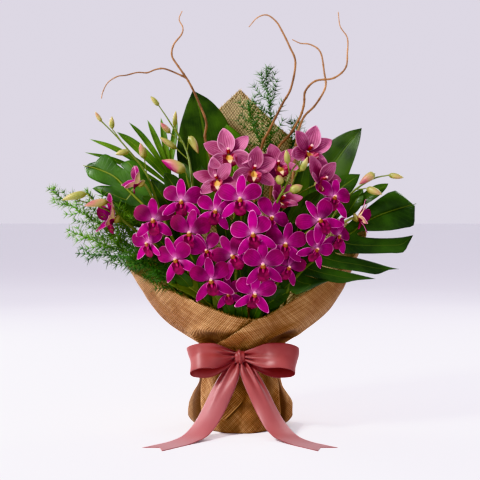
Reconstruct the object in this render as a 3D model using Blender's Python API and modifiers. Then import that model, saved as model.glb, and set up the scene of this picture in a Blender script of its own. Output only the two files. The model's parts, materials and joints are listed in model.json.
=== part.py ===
"""An orchid bouquet: dendrobium and cymbidium sprays, leaves, asparagus fern and curly
willow, standing in a hidden glass vase inside a burlap wrap that a satin ribbon ties.

The frame is metres, +Z up, with the origin at the middle of the wrap's flat foot. The
bouquet faces -Y and +X is to its right. The tables of knots and sizes are in millimetres,
which MM scales.
"""

import math
import random

import bmesh
import bpy
from mathutils import Matrix, Vector

MM = 0.001

# Driving dimensions
BLADE = 0.8
PETAL = 0.9
CLOTH = 1.8
RIBBON = 1.0
GAP = 0.3

VASE_RADIUS = 50
VASE_HEIGHT = 95
VASE_WALL = 3
VASE_FLOOR = 5
VASE_SIDES = 24
WRAP_FLOOR = 2.5
WATER_TOP = 84
STEM_FOOT = 14
HOLE_RADIUS = 4.6
NECK = 122

# Stems stand in the vase in a honeycomb of slots
SLOT_PITCH = 13
SLOT_ROW = SLOT_PITCH * math.sqrt(3) / 2

# The flower dome is half an ellipsoid that bulges towards the viewer
DOME_WIDE = 225
DOME_DEEP = 150
DOME_HIGH = 195
DOME_CENTRE = 262

COLOURS = {
    "glass": ((0.80, 0.88, 0.88), 0.05),
    "water": ((0.62, 0.76, 0.78), 0.05),
    "burlap": ((0.50, 0.32, 0.15), 0.9),
    "ribbon_satin": ((0.55, 0.20, 0.20), 0.35),
    "dendrobium": ((0.50, 0.01, 0.30), 0.5),
    "cymbidium": ((0.62, 0.22, 0.36), 0.5),
    "leaf_green": ((0.06, 0.16, 0.02), 0.35),
    "palm_green": ((0.12, 0.26, 0.04), 0.4),
    "fern_green": ((0.08, 0.25, 0.03), 0.6),
    "willow_bark": ((0.30, 0.15, 0.05), 0.8),
}


# Helpers


def finish(colour):
    made = bpy.data.materials.get(colour)
    if made is None:
        made = bpy.data.materials.new(colour)
        made.use_nodes = True
        shader = made.node_tree.nodes["Principled BSDF"]
        rgb, roughness = COLOURS[colour]
        shader.inputs["Base Color"].default_value = (*rgb, 1)
        shader.inputs["Roughness"].default_value = roughness
        shader.inputs["Metallic"].default_value = 0
    return made


def link(name, data):
    made = bpy.data.objects.new(name, data)
    bouquet.objects.link(made)
    return made


def move_to(made, collection):
    for old in list(made.users_collection):
        old.objects.unlink(made)
    collection.objects.link(made)


def point(x, y, z):
    return Vector((x, y, z)) * MM


def points(knots):
    return [point(*knot) for knot in knots]


def eased(knots, value):
    """Straight interpolation through a list of (value, result) pairs."""
    if value <= knots[0][0]:
        return knots[0][1]
    for (low, first), (high, last) in zip(knots, knots[1:]):
        if value <= high:
            return first + (last - first) * (value - low) / (high - low)
    return knots[-1][1]


def smooth_line(knots, steps):
    """Points along a Catmull-Rom curve through the knots, steps to each span."""
    ends = [2 * knots[0] - knots[1], *knots, 2 * knots[-1] - knots[-2]]
    line = []
    for a, b, c, d in zip(ends, ends[1:], ends[2:], ends[3:]):
        for step in range(steps):
            t = step / steps
            bend = (2 * a - 5 * b + 4 * c - d) * t**2 + (3 * b - a - 3 * c + d) * t**3
            line.append(0.5 * (2 * b + (c - a) * t + bend))
    return line + [knots[-1].copy()]


def along_line(line, share):
    """The place at a share of a line, from 0 at its start to 1 at its end."""
    spot = min(share, 0.9999) * (len(line) - 1)
    return line[int(spot)].lerp(line[int(spot) + 1], spot % 1)


def tangent_at(line, k):
    return (line[min(k + 1, len(line) - 1)] - line[max(k - 1, 0)]).normalized()


def nearest(line, place):
    return min(range(len(line)), key=lambda k: (line[k] - place).length)


def made_solid(source):
    """A mesh object of the source as its modifiers or bevel make it, its caps welded."""
    bpy.context.view_layer.update()
    seen = source.evaluated_get(bpy.context.evaluated_depsgraph_get())
    mesh = bpy.data.meshes.new_from_object(seen)
    shape = bmesh.new()
    shape.from_mesh(mesh)
    bmesh.ops.remove_doubles(shape, verts=shape.verts, dist=1e-6)
    shape.to_mesh(mesh)
    shape.free()
    name, place = source.name, source.matrix_world.copy()
    bpy.data.objects.remove(source)
    solid = link(name, mesh)
    solid.matrix_world = place
    return solid


def tube(name, line, radii):
    """A four-sided stem along a line, its radius in mm eased through pairs from 0 to 1."""
    curve = bpy.data.curves.new(name, "CURVE")
    curve.dimensions = "3D"
    curve.resolution_u = 1
    curve.bevel_depth = MM
    curve.bevel_resolution = 0
    curve.use_fill_caps = True
    spline = curve.splines.new("POLY")
    spline.points.add(len(line) - 1)
    for k, (spot, centre) in enumerate(zip(spline.points, line)):
        spot.co = (*centre, 1)
        spot.radius = eased(radii, k / (len(line) - 1))
    return made_solid(link(name, curve))


def thickened(name, shape, thickness):
    """The open surface in the bmesh as a closed blade, split alike on its two faces."""
    bmesh.ops.remove_doubles(shape, verts=shape.verts, dist=1e-6)
    bmesh.ops.triangulate(shape, faces=[face for face in shape.faces if len(face.verts) == 4])
    mesh = bpy.data.meshes.new(name)
    shape.to_mesh(mesh)
    shape.free()
    blade = link(name, mesh)
    wall = blade.modifiers.new("thickness", "SOLIDIFY")
    wall.thickness = thickness * MM
    wall.offset = 0
    return made_solid(blade)


def grid_surface(columns, rows, place):
    """A grid whose corners go where place(u, row) says, with u from -1 to 1 across."""
    shape = bmesh.new()
    corners = bmesh.ops.create_grid(shape, x_segments=columns, y_segments=rows, size=1)["verts"]
    for corner in corners:
        corner.co = place(corner.co.x, round((corner.co.y + 1) / 2 * rows))
    return shape, corners


def blade(name, line, widths, face, fold=0.0, columns=2):
    """A blade down whose middle the line runs, its two halves raised by the fold."""
    face = Vector(face).normalized()

    def place(u, k):
        along = tangent_at(line, k)
        side = along.cross(face).normalized()
        half = eased(widths, k / (len(line) - 1)) * MM
        return line[k] + (side * u + side.cross(along) * abs(u) * fold) * half

    shape, _ = grid_surface(columns, len(line) - 1, place)
    return thickened(name, shape, BLADE)


def extruded(shape, edge, move):
    """Extrudes an edge, puts each new corner where move(old corner) says, and returns its copy."""
    starts = list(edge.verts)
    grown_parts = bmesh.ops.extrude_edge_only(shape, edges=[edge])["geom"]
    fresh = {part for part in grown_parts if isinstance(part, bmesh.types.BMVert)}
    copies = []
    for start in starts:
        copy = next(e.other_vert(start) for e in start.link_edges if e.other_vert(start) in fresh)
        copy.co = move(start.co)
        copies.append(copy)
    return shape.edges.get(copies)


def grown(shape, face, stations):
    """Extrudes a face through stations of (place, radius in mm), each square to its path."""
    facing = face.normal.copy()
    before = face.calc_center_median()
    for place, radius in stations:
        face = bmesh.ops.extrude_discrete_faces(shape, faces=[face])["faces"][0]
        heading = (place - before).normalized()
        turn = facing.rotation_difference(heading)
        reach = (face.verts[0].co - before).length
        for corner in face.verts:
            corner.co = place + turn @ (corner.co - before) * (radius * MM / reach)
        facing, before = heading, place
    return face


def fuse(name, pieces, colour):
    """One node of pieces that are sunk into each other, joined by a Boolean union."""
    body, others = pieces[0], pieces[1:]
    if others:
        gathered = bpy.data.collections.new(name + "_pieces")
        for other in others:
            gathered.objects.link(other)
        join = body.modifiers.new("join", "BOOLEAN")
        join.operation = "UNION"
        join.operand_type = "COLLECTION"
        join.collection = gathered
        join.use_self = True
        body = made_solid(body)
        for other in others:
            bpy.data.objects.remove(other)
        bpy.data.collections.remove(gathered)
    body.name = name
    body.data.materials.clear()
    body.data.materials.append(finish(colour))
    return body


def turned(name, profile, sides):
    """A solid of revolution from (radius, height) pairs in mm, by a Screw modifier."""
    mesh = bpy.data.meshes.new(name)
    corners = [point(radius, 0, height) for radius, height in profile]
    mesh.from_pydata(corners, [(i, i + 1) for i in range(len(corners) - 1)], [])
    solid = link(name, mesh)
    turn = solid.modifiers.new("turn", "SCREW")
    turn.steps = turn.render_steps = sides
    turn.use_merge_vertices = True
    turn.merge_threshold = 0.00005
    return solid


# Stems in the vase

slots_taken = []


def stem_line(slot, knots, steps=2):
    """A stem from its slot in the water, straight up to the neck, then through the knots.

    A slot is (column, row), and odd rows of the honeycomb sit half a pitch to the right.
    """
    column, row = slot
    foot = point((column + 0.5 * (row % 2)) * SLOT_PITCH, row * SLOT_ROW, 0)
    slots_taken.append(foot)
    return [foot + point(0, 0, STEM_FOOT)] + smooth_line(
        [foot + point(0, 0, NECK), *points(knots)], steps
    )


def make_vase():
    inner = VASE_RADIUS - VASE_WALL
    profile = [
        (0, VASE_FLOOR),
        (inner, VASE_FLOOR),
        (inner, VASE_HEIGHT),
        (VASE_RADIUS, VASE_HEIGHT),
        (VASE_RADIUS, 0),
        (0, 0),
    ]
    vase = turned("liner_vase", profile, VASE_SIDES)
    vase.location.z = (WRAP_FLOOR + GAP) * MM
    vase.data.materials.append(finish("glass"))
    return vase


def make_water():
    """The water in the vase, with a plain hole for every stem that stands in it."""
    bottom = WRAP_FLOOR + GAP + VASE_FLOOR + GAP
    depth = WATER_TOP - bottom
    bpy.ops.mesh.primitive_cylinder_add(
        vertices=VASE_SIDES, radius=(VASE_RADIUS - VASE_WALL - GAP) * MM, depth=depth * MM,
        location=point(0, 0, bottom + depth / 2),
    )
    water = bpy.context.object
    water.name = "vase_water"
    water.data.materials.append(finish("water"))
    move_to(water, bouquet)
    hole_foot = STEM_FOOT - GAP
    for foot in slots_taken:
        bpy.ops.mesh.primitive_cylinder_add(
            vertices=4, radius=HOLE_RADIUS * MM, depth=WATER_TOP * MM,
            location=foot + point(0, 0, hole_foot + WATER_TOP / 2),
        )
        hole = bpy.context.object
        hole.name = "stem_hole"
        hole.hide_render = True
        hole.display_type = "WIRE"
        move_to(hole, cutters)
    cut = water.modifiers.new("stem holes", "BOOLEAN")
    cut.operation = "DIFFERENCE"
    cut.operand_type = "COLLECTION"
    cut.collection = cutters
    return water


# The burlap wrap. Turns run in degrees from the front, over the left, the back and the right.

BAG_SIDES = 24
BAG_PROFILE = [(0, WRAP_FLOOR), (60, WRAP_FLOOR), (65, 12), (64, 40), (57, 64), (53, 98),
               (47.5, 105), (47, 122), (55, 122), (55, 100), (58, 86), (62, 62), (69, 40),
               (73, 20), (71, 5), (64, 0), (0, 0)]
BAG_MIDDLE = [(0, 66), (64, 60), (100, 54)]
EAR_REACH = [(0, 0), (8, 6), (22, 8), (42, 6), (64, 1), (75, 0)]
EAR_SPREAD = 24
EAR_INNER_SHARE = 0.8

SIDE_REACH = [(110, 51), (120, 52), (127, 62), (138, 79), (156, 104), (180, 128), (218, 153),
              (250, 172), (295, 190), (340, 198), (530, 200)]
FRONT_REACH = [(110, 51), (120, 52), (138, 67), (156, 84), (175, 96), (200, 104), (260, 112)]
BACK_REACH = [(110, 51), (120, 52), (138, 62), (180, 76), (250, 94), (350, 106), (530, 114)]
OVERLAP_LIFT = [(110, 2.4), (120, 2.6), (140, 5.5), (300, 6.5)]
RIM = [(-30, 166), (0, 175), (20, 190), (50, 220), (75, 242), (90, 262), (110, 312), (126, 362),
       (144, 414), (156, 452), (180, 532), (204, 452), (229, 384), (257, 326), (270, 300),
       (310, 229), (352, 176), (390, 160)]
COLLAR_LEVELS = [110, 120, 138, 156]
COLLAR_SHARES = [0.34, 0.67, 1]
HIDDEN_EDGE = -30
BACK_TURN = 180
FREE_EDGE = [(110, 390), (142, 388), (176, 352)]
SWEEP_STEPS = 22


def ear_reach(corner):
    """How far the gathered foot bulges at its two sides, where the cloth folds into ears."""
    off = math.degrees(math.atan2(abs(corner.y), abs(corner.x)))
    return eased(EAR_REACH, corner.z / MM) * math.exp(-((off / EAR_SPREAD) ** 2))


def make_bag():
    """The gathered foot of the wrap: a cup with a flat floor, a thick neck and two ears."""
    bag = made_solid(turned("bag", BAG_PROFILE, BAG_SIDES))
    for vertex in bag.data.vertices:
        flat = Vector((vertex.co.x, vertex.co.y, 0))
        if flat.length > VASE_RADIUS * MM:
            outside = flat.length / MM > eased(BAG_MIDDLE, vertex.co.z / MM)
            share = 1 if outside else EAR_INNER_SHARE
            vertex.co += flat.normalized() * ear_reach(vertex.co) * share * MM
    return bag


def collar_point(turn, z, spread):
    """A point of the flared sheet. Spread grows along the sweep, so its end lies outside."""
    angle = math.radians(turn)
    deep = eased(FRONT_REACH if math.cos(angle) > 0 else BACK_REACH, z)
    wide = eased(SIDE_REACH, z)
    lift = spread * eased(OVERLAP_LIFT, z) - CLOTH / 2
    return point(-(wide + lift) * math.sin(angle), -(deep + lift) * math.cos(angle), z)


def make_collar():
    """The flared upper sheet: one turn and an overlap, its right flap lying over its left."""

    def place(u, row):
        share = (u + 1) / 2

        def turn_at(z):
            if share <= 0.5:
                return HIDDEN_EDGE + (BACK_TURN - HIDDEN_EDGE) * share * 2
            return BACK_TURN + (eased(FREE_EDGE, z) - BACK_TURN) * (share * 2 - 1)

        foot = COLLAR_LEVELS[-1]
        top = eased(RIM, turn_at(200))
        levels = COLLAR_LEVELS + [foot + (top - foot) * part for part in COLLAR_SHARES]
        return collar_point(turn_at(levels[row]), levels[row], share)

    rows = len(COLLAR_LEVELS) + len(COLLAR_SHARES) - 1
    shape, _ = grid_surface(SWEEP_STEPS, rows, place)
    return thickened("collar", shape, CLOTH)


def make_wrap():
    return fuse("burlap_wrap", [make_bag(), make_collar()], "burlap")


# The ribbon. The left tail is listed, and the right one mirrors it.

BAND_RADIUS = 55.8
BAND_LOW = 100
BAND_HIGH = 117
KNOT = (0, -65, 113)
KNOT_SIZE = (9, 8.8, 10)
LOOP_LEAN = math.radians(24)
LOOP_PATH = [(4, -68), (18, -76), (38, -88), (60, -91), (74, -85), (79, -76), (70, -70),
             (46, -69), (20, -68), (4, -66)]
LOOP_OUT = 79
LOOP_DROP = 4
LOOP_HALF = [(0, 6), (0.12, 13), (0.25, 19), (0.78, 19), (0.9, 13), (1, 6)]
LEFT_TAIL = [(-1, -66, 108), (-9, -75, 96), (-19, -84, 80), (-30, -92, 61), (-40, -101, 41),
             (-52, -114, 21), (-67, -131, 6.5), (-86, -153, 0.8), (-108, -180, 0.7),
             (-122, -197, 0.7)]
TAIL_HALF = [(0, 6), (0.12, 13), (0.25, 18), (1, 19)]
TAIL_FLAT = [(0.35, 0), (0.7, 1)]
TAIL_NOTCH = 15


def make_band():
    bpy.ops.mesh.primitive_cylinder_add(
        vertices=BAG_SIDES, radius=(BAND_RADIUS + RIBBON / 2) * MM,
        depth=(BAND_HIGH - BAND_LOW) * MM, end_fill_type="NOTHING",
        location=point(0, 0, (BAND_HIGH + BAND_LOW) / 2),
    )
    band = bpy.context.object
    band.name = "band"
    move_to(band, bouquet)
    wall = band.modifiers.new("thickness", "SOLIDIFY")
    wall.thickness = RIBBON * MM
    wall.offset = 0
    return made_solid(band)


def make_knot():
    bpy.ops.mesh.primitive_uv_sphere_add(segments=8, ring_count=6, radius=1)
    knot = bpy.context.object
    knot.name = "knot"
    move_to(knot, bouquet)
    knot.data.transform(Matrix.Diagonal((*point(*KNOT_SIZE), 1)))
    knot.location = point(*KNOT)
    return knot


def make_loop(side):
    line = [Vector((side * x, y, 0)) for x, y in LOOP_PATH]

    def place(u, k):
        spot = line[k]
        out = abs(spot.x) / LOOP_OUT
        lean = LOOP_LEAN * min(1, out * 2)
        up = Vector((0, -math.sin(lean), math.cos(lean)))
        centre = Vector((spot.x, spot.y, KNOT[2] - LOOP_DROP * out))
        return (centre + up * u * eased(LOOP_HALF, k / (len(line) - 1))) * MM

    shape, _ = grid_surface(1, len(line) - 1, place)
    return thickened("loop", shape, RIBBON)


def make_tail(side):
    line = points([(-side * x, y, z) for x, y, z in LEFT_TAIL])

    def place(u, k):
        share = k / (len(line) - 1)
        along = tangent_at(line, k)
        face = Vector((0, -1, 0.25)).lerp(Vector((0, 0, 1)), eased(TAIL_FLAT, share))
        side_way = along.cross(face).normalized()
        notch = TAIL_NOTCH * MM if k == len(line) - 1 and u == 0 else 0
        return line[k] + side_way * u * eased(TAIL_HALF, share) * MM - along * notch

    shape, _ = grid_surface(2, len(line) - 1, place)
    return thickened("tail", shape, RIBBON)


def make_ribbon():
    pieces = [make_band(), make_knot()]
    for side in (-1, 1):
        pieces += [make_loop(side), make_tail(side)]
    return fuse("satin_ribbon_bow", pieces, "ribbon_satin")


# Blooms. In a bloom's own frame +Z looks out of its face and +Y is up.
# Each of its six tepals has a direction and stations of (reach, half width, forward).

HUB = 4
HUB_TURN = math.radians(30)
DENDROBIUM = {
    90: [(15, 7.5, 2), (30, 0, -1)],
    162: [(9, 6.5, 1), (19, 12.5, 2.5), (31, 5.5, 1)],
    232: [(15, 7, 0), (31, 0, -2)],
    270: [(8, 7, 8), (20, 3, 9)],
    308: [(15, 7, 0), (31, 0, -2)],
    18: [(9, 6.5, 1), (19, 12.5, 2.5), (31, 5.5, 1)],
}
CYMBIDIUM = {
    90: [(11, 8, 1), (22, 8.5, 4), (34, 0, 7)],
    155: [(17, 8.5, 1), (34, 0, 3)],
    218: [(16, 8.5, 1), (33, 0, 3)],
    270: [(7, 8, 11), (17, 4, 15)],
    322: [(16, 8.5, 1), (33, 0, 3)],
    25: [(17, 8.5, 1), (34, 0, 3)],
}
COLUMN = ((0, 3, 8), 1.8)
FLOWER_BACK = ((0, -1, -8), 1.9)
PEDICEL = 1.3


def dome_depth(x, z):
    """How far towards the viewer the flower dome stands at a place in its outline."""
    inside = 1 - (x / DOME_WIDE) ** 2 - ((z - DOME_CENTRE) / DOME_HIGH) ** 2
    return -DOME_DEEP * math.sqrt(max(inside, 0.04))


def bloom_frame(x, z, lift, yaw, pitch, roll):
    """The place of a bloom that looks partly at the viewer and partly out of the dome.

    Lift moves it out of the dome, and yaw, pitch and roll, in degrees, turn it further.
    """
    place = Vector((x, dome_depth(x, z), z))
    slope = Vector((
        x / DOME_WIDE**2, place.y / DOME_DEEP**2, (z - DOME_CENTRE) / DOME_HIGH**2
    )).normalized()
    yaw = math.radians(yaw) + 0.5 * math.atan2(slope.x, -slope.y)
    pitch = math.radians(pitch) + 0.4 * math.asin(slope.z)
    out = Vector((
        math.sin(yaw) * math.cos(pitch), -math.cos(yaw) * math.cos(pitch), math.sin(pitch)
    ))
    right = Vector((math.cos(yaw), math.sin(yaw), 0))
    turn = Matrix((right, out.cross(right), out)).transposed()
    turn = turn @ Matrix.Rotation(math.radians(roll), 3, "Z")
    return Matrix.Translation((place + out * lift) * MM) @ turn.to_4x4()


def bloom_surface(tepals, frame, size):
    """The tepals and lip of a bloom, grown from the edges of a small six-sided hub."""
    shape = bmesh.new()
    hub = bmesh.ops.create_circle(shape, cap_ends=True, segments=len(tepals), radius=HUB)
    bmesh.ops.rotate(shape, verts=hub["verts"], matrix=Matrix.Rotation(HUB_TURN, 3, "Z"))
    rim = list(shape.edges)
    for direction, stations in tepals.items():
        turn = math.radians(direction)
        along = Vector((math.cos(turn), math.sin(turn), 0))
        side = Vector((-along.y, along.x, 0))
        edge = max(rim, key=lambda e: (e.verts[0].co + e.verts[1].co).dot(along))
        for reach, half, forward in stations:
            middle = along * reach + Vector((0, 0, forward))

            def move(corner):
                return middle + side * (half if corner.dot(side) > 0 else -half)

            edge = extruded(shape, edge, move)
    bmesh.ops.transform(shape, matrix=frame @ Matrix.Scale(size * MM, 4), verts=shape.verts)
    return shape


def make_bloom(tepals, frame, size, rachis):
    """A bloom, with its column in front and its pedicel running back into the rachis."""
    bloom = thickened("bloom", bloom_surface(tepals, frame, size), PETAL)
    out = frame.to_3x3() @ Vector((0, 0, 1))
    back, back_radius = FLOWER_BACK
    far = frame @ point(0, -6, -22)
    joint = rachis[max(1, nearest(rachis, far) - 1)]
    shape = bmesh.new()
    shape.from_mesh(bloom.data)
    shape.normal_update()
    hubs = [face for face in shape.faces if len(face.verts) == len(tepals)]
    hubs.sort(key=lambda face: face.calc_center_median().dot(out))
    column, column_radius = COLUMN
    grown(shape, hubs[-1], [(frame @ point(*column), size * column_radius)])
    grown(shape, hubs[0], [(frame @ point(*back), back_radius), (joint, PEDICEL)])
    shape.to_mesh(bloom.data)
    shape.free()
    return bloom


def make_bud(rachis, tip, base, fat):
    """A bud: a stalk from the rachis to its base, swelling to its fat middle, then its tip."""
    tip, base = point(*tip), point(*base)
    joint = rachis[nearest(rachis, base)]
    line = [joint, base, base.lerp(tip, 0.45), tip]
    return tube("bud", line, [(0, 1.0), (1 / 3, 1.4), (2 / 3, fat), (1, 0.7)])


def make_spray(name, colour, tepals, facts, radius):
    """A flower spray: its stem, each bloom on its pedicel, and the buds towards its tip."""
    rachis = stem_line(facts["slot"], facts["knots"])
    pieces = [tube("rachis", rachis, [(0, radius), (0.5, radius), (1, 1.2)])]
    for x, z, lift, yaw, pitch, roll, size in facts["blooms"]:
        frame = bloom_frame(x, z, lift, yaw, pitch, roll)
        pieces.append(make_bloom(tepals, frame, size, rachis))
    for bud in facts.get("buds", []):
        pieces.append(make_bud(rachis, *bud))
    return fuse(name, pieces, colour)


# A bloom is (x, z, lift, yaw, pitch, roll, size), and a bud (its tip, its base, its radius).

DENDROBIUM_SPRAYS = {
    "dendrobium_spray_1": dict(
        slot=(-3, -1),
        knots=[(-70, -34, 190), (-108, -52, 256), (-150, -70, 298), (-196, -80, 332),
               (-250, -84, 350)],
        blooms=[(-137, 283, -8, -28, -8, 12, 0.9), (-181, 321, 2, -50, 0, 20, 0.88)],
        buds=[((-262, -92, 347), (-240, -86, 350), 3.4), ((-238, -84, 366), (-222, -80, 352), 4),
              ((-214, -100, 338), (-197, -86, 340), 4.4)],
    ),
    "dendrobium_spray_2": dict(
        slot=(-2, 0),
        knots=[(-54, -44, 190), (-86, -84, 262), (-116, -76, 325), (-140, -52, 385),
               (-176, -48, 432), (-212, -52, 470)],
        blooms=[(-89, 262, 4, -10, -6, 18, 0.98), (-123, 315, 10, 6, 4, 6, 1),
                (-144, 372, 4, -50, 4, -20, 0.85)],
        buds=[((-216, -56, 478), (-209, -52, 466), 2.6), ((-192, -54, 471), (-193, -50, 456), 3.2),
              ((-184, -62, 416), (-168, -54, 421), 4), ((-148, -64, 430), (-144, -54, 412), 4.4)],
    ),
    "dendrobium_spray_3": dict(
        slot=(-2, -1),
        knots=[(-34, -54, 190), (-64, -92, 282), (-70, -78, 360), (-80, -46, 420),
               (-104, -36, 462), (-124, -36, 492)],
        blooms=[(-71, 299, 5, 0, -4, -4, 1.02), (-84, 344, 0, 4, -2, 0, 1),
                (-99, 397, 4, -60, 8, 60, 0.7)],
        buds=[((-134, -40, 503), (-124, -36, 492), 3), ((-118, -50, 462), (-107, -42, 450), 3.6),
              ((-118, -56, 440), (-97, -48, 426), 3.8), ((-64, -52, 420), (-76, -46, 446), 4.6)],
    ),
    "dendrobium_spray_4": dict(
        slot=(-1, -2),
        knots=[(-24, -74, 190), (-40, -108, 240), (-46, -106, 292), (-46, -96, 336)],
        blooms=[(-40, 234, 8, 0, -6, 8, 1), (-48, 274, -5, 0, -4, 26, 0.84),
                (-36, 331, -1, 14, -6, -12, 0.92)],
    ),
    "dendrobium_spray_5": dict(
        slot=(0, -2),
        knots=[(-6, -78, 186), (-6, -110, 240), (2, -112, 296), (2, -98, 342)],
        blooms=[(-17, 212, -5, -4, -12, 10, 0.78), (-9, 267, 1, -14, -2, 34, 0.96),
                (18, 297, 9, 0, 0, 8, 1.02), (0, 345, 6, 0, 4, 0, 1.04)],
    ),
    "dendrobium_spray_6": dict(
        slot=(1, -2),
        knots=[(24, -76, 190), (33, -108, 244), (46, -112, 300), (52, -128, 340), (64, -136, 364),
               (74, -132, 390), (92, -124, 424)],
        blooms=[(20, 215, 5, 4, -10, -8, 0.98), (31, 255, 12, 2, -2, 2, 1.04),
                (44, 321, -2, 24, 0, -34, 0.94)],
        buds=[((66, -144, 416), (68, -136, 400), 3.6), ((104, -132, 412), (92, -124, 424), 3.4),
              ((54, -146, 380), (58, -138, 372), 4.6), ((88, -136, 366), (74, -138, 360), 5)],
    ),
    "dendrobium_spray_7": dict(
        slot=(2, -2),
        knots=[(48, -66, 200), (72, -102, 256), (88, -98, 300), (100, -84, 328)],
        blooms=[(70, 250, -4, 10, -4, -26, 0.84), (63, 283, 3, 6, 0, -10, 0.98),
                (105, 277, 4, 26, -10, -30, 0.88), (111, 315, 11, 0, 4, 34, 1)],
    ),
    "dendrobium_spray_8": dict(
        slot=(2, -1),
        knots=[(64, -46, 200), (112, -76, 272), (138, -74, 322), (164, -66, 356),
               (196, -78, 378), (222, -84, 384)],
        blooms=[(142, 294, -2, 24, 0, -20, 0.86), (133, 348, 7, 8, 4, -22, 0.96),
                (172, 322, 1, 58, -6, -24, 0.84)],
        buds=[((238, -92, 380), (221, -86, 384), 3.4), ((184, -86, 380), (200, -86, 388), 4.4),
              ((206, -96, 356), (188, -88, 364), 4.4)],
    ),
}

CYMBIDIUM_SPRAYS = {
    "cymbidium_spray_1": dict(
        slot=(-1, 0),
        knots=[(-8, -28, 240), (-8, -42, 330), (-4, -50, 390), (-4, -50, 410)],
        blooms=[(-34, 377, -8, -6, 2, 10, 0.92), (-16, 419, 2, 6, 10, 6, 1.02),
                (20, 389, -2, 6, 0, -6, 0.98)],
    ),
    "cymbidium_spray_2": dict(
        slot=(1, 0),
        knots=[(34, -30, 240), (62, -46, 330), (82, -42, 378), (92, -26, 408)],
        blooms=[(57, 398, -8, -4, 6, 14, 0.94), (103, 423, 6, 8, 4, -14, 1),
                (120, 380, -6, 52, 14, -50, 0.9), (70, 357, -24, 30, 24, -40, 0.86)],
    ),
}


# Leaves

LANCE = [(0, 0), (0.15, 0.55), (0.35, 0.95), (0.5, 1), (0.7, 0.8), (0.88, 0.42), (1, 0)]


def make_leaf(name, facts):
    """A leaf: its stalk, then a lance-shaped blade down whose middle the spine runs."""
    widths = [(share, facts["half"] * width) for share, width in LANCE]
    leaf = blade("blade", points(facts["spine"]), widths, facts["face"], facts.get("fold", 0.15))
    stalk = stem_line(facts["slot"], [*facts["stalk"], *facts["spine"][:2]])
    stem = tube("stalk", stalk, [(0, 2), (0.8, 2), (1, 1.2)])
    return fuse(name, [leaf, stem], "leaf_green")


LEAVES = {
    "aspidistra_leaf_tall": dict(
        slot=(-1, 2), stalk=[(-30, 44, 190), (-46, 62, 270)],
        spine=[(-52, 68, 310), (-50, 70, 352), (-51, 74, 400), (-56, 76, 445), (-64, 77, 488),
               (-76, 76, 526)],
        half=49, face=(0.1, -1, 0.1),
    ),
    "aspidistra_leaf_short": dict(
        slot=(0, 2), stalk=[(-6, 42, 250), (-8, 46, 330)],
        spine=[(-8, 48, 372), (-10, 48, 400), (-13, 46, 434), (-22, 42, 468)],
        half=27, face=(-0.1, -1, 0.1),
    ),
    "aspidistra_leaf_right": dict(
        slot=(1, 3), stalk=[(60, 48, 220), (92, 58, 290)],
        spine=[(104, 58, 316), (122, 56, 356), (142, 52, 394), (166, 44, 430), (192, 36, 462)],
        half=34, face=(-0.35, -1, 0.25),
    ),
    "salal_leaf_right": dict(
        slot=(2, 1), stalk=[(70, 2, 220), (96, -6, 280)],
        spine=[(108, -10, 304), (126, -12, 332), (150, -8, 362), (186, 0, 388)],
        half=27, face=(-0.2, -1, 0.5),
    ),
    "salal_leaf_back_left": dict(
        slot=(-1, -1), stalk=[(-30, -28, 180)],
        spine=[(-52, -38, 222), (-74, -42, 262), (-92, -42, 304), (-102, -34, 346)],
        half=30, face=(-0.3, -1, 0.2),
    ),
    "salal_leaf_back_middle": dict(
        slot=(0, -1), stalk=[(6, -46, 176)],
        spine=[(2, -62, 212), (2, -68, 252), (4, -68, 296), (8, -60, 340)],
        half=27, face=(0, -1, 0.2),
    ),
    "salal_leaf_back_right": dict(
        slot=(2, 0), stalk=[(44, -46, 186)],
        spine=[(54, -54, 218), (74, -58, 258), (86, -54, 300), (92, -44, 344)],
        half=24, face=(0.3, -1, 0.2),
    ),
    "salal_leaf_rim": dict(
        slot=(-2, -3), stalk=[(-30, -64, 166)],
        spine=[(-40, -76, 187), (-66, -87, 212), (-100, -84, 230), (-140, -75, 242)],
        half=14, face=(-0.2, -0.8, 0.7), fold=0.5,
    ),
    "salal_leaf_front": dict(
        slot=(-1, -3), stalk=[(-12, -62, 158)],
        spine=[(-18, -74, 172), (-28, -88, 192), (-40, -96, 211)],
        half=12, face=(0, -1, 0.35),
    ),
    "salal_leaf_front_right": dict(
        slot=(1, -3), stalk=[(27, -60, 160)],
        spine=[(32, -70, 174), (44, -86, 198), (60, -92, 222)],
        half=17, face=(0.2, -1, 0.5),
    ),
}

MONSTERA_STRIP = 0.3
LOBE_STATIONS = [(0.55, 0.86), (1, 0.5)]


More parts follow.
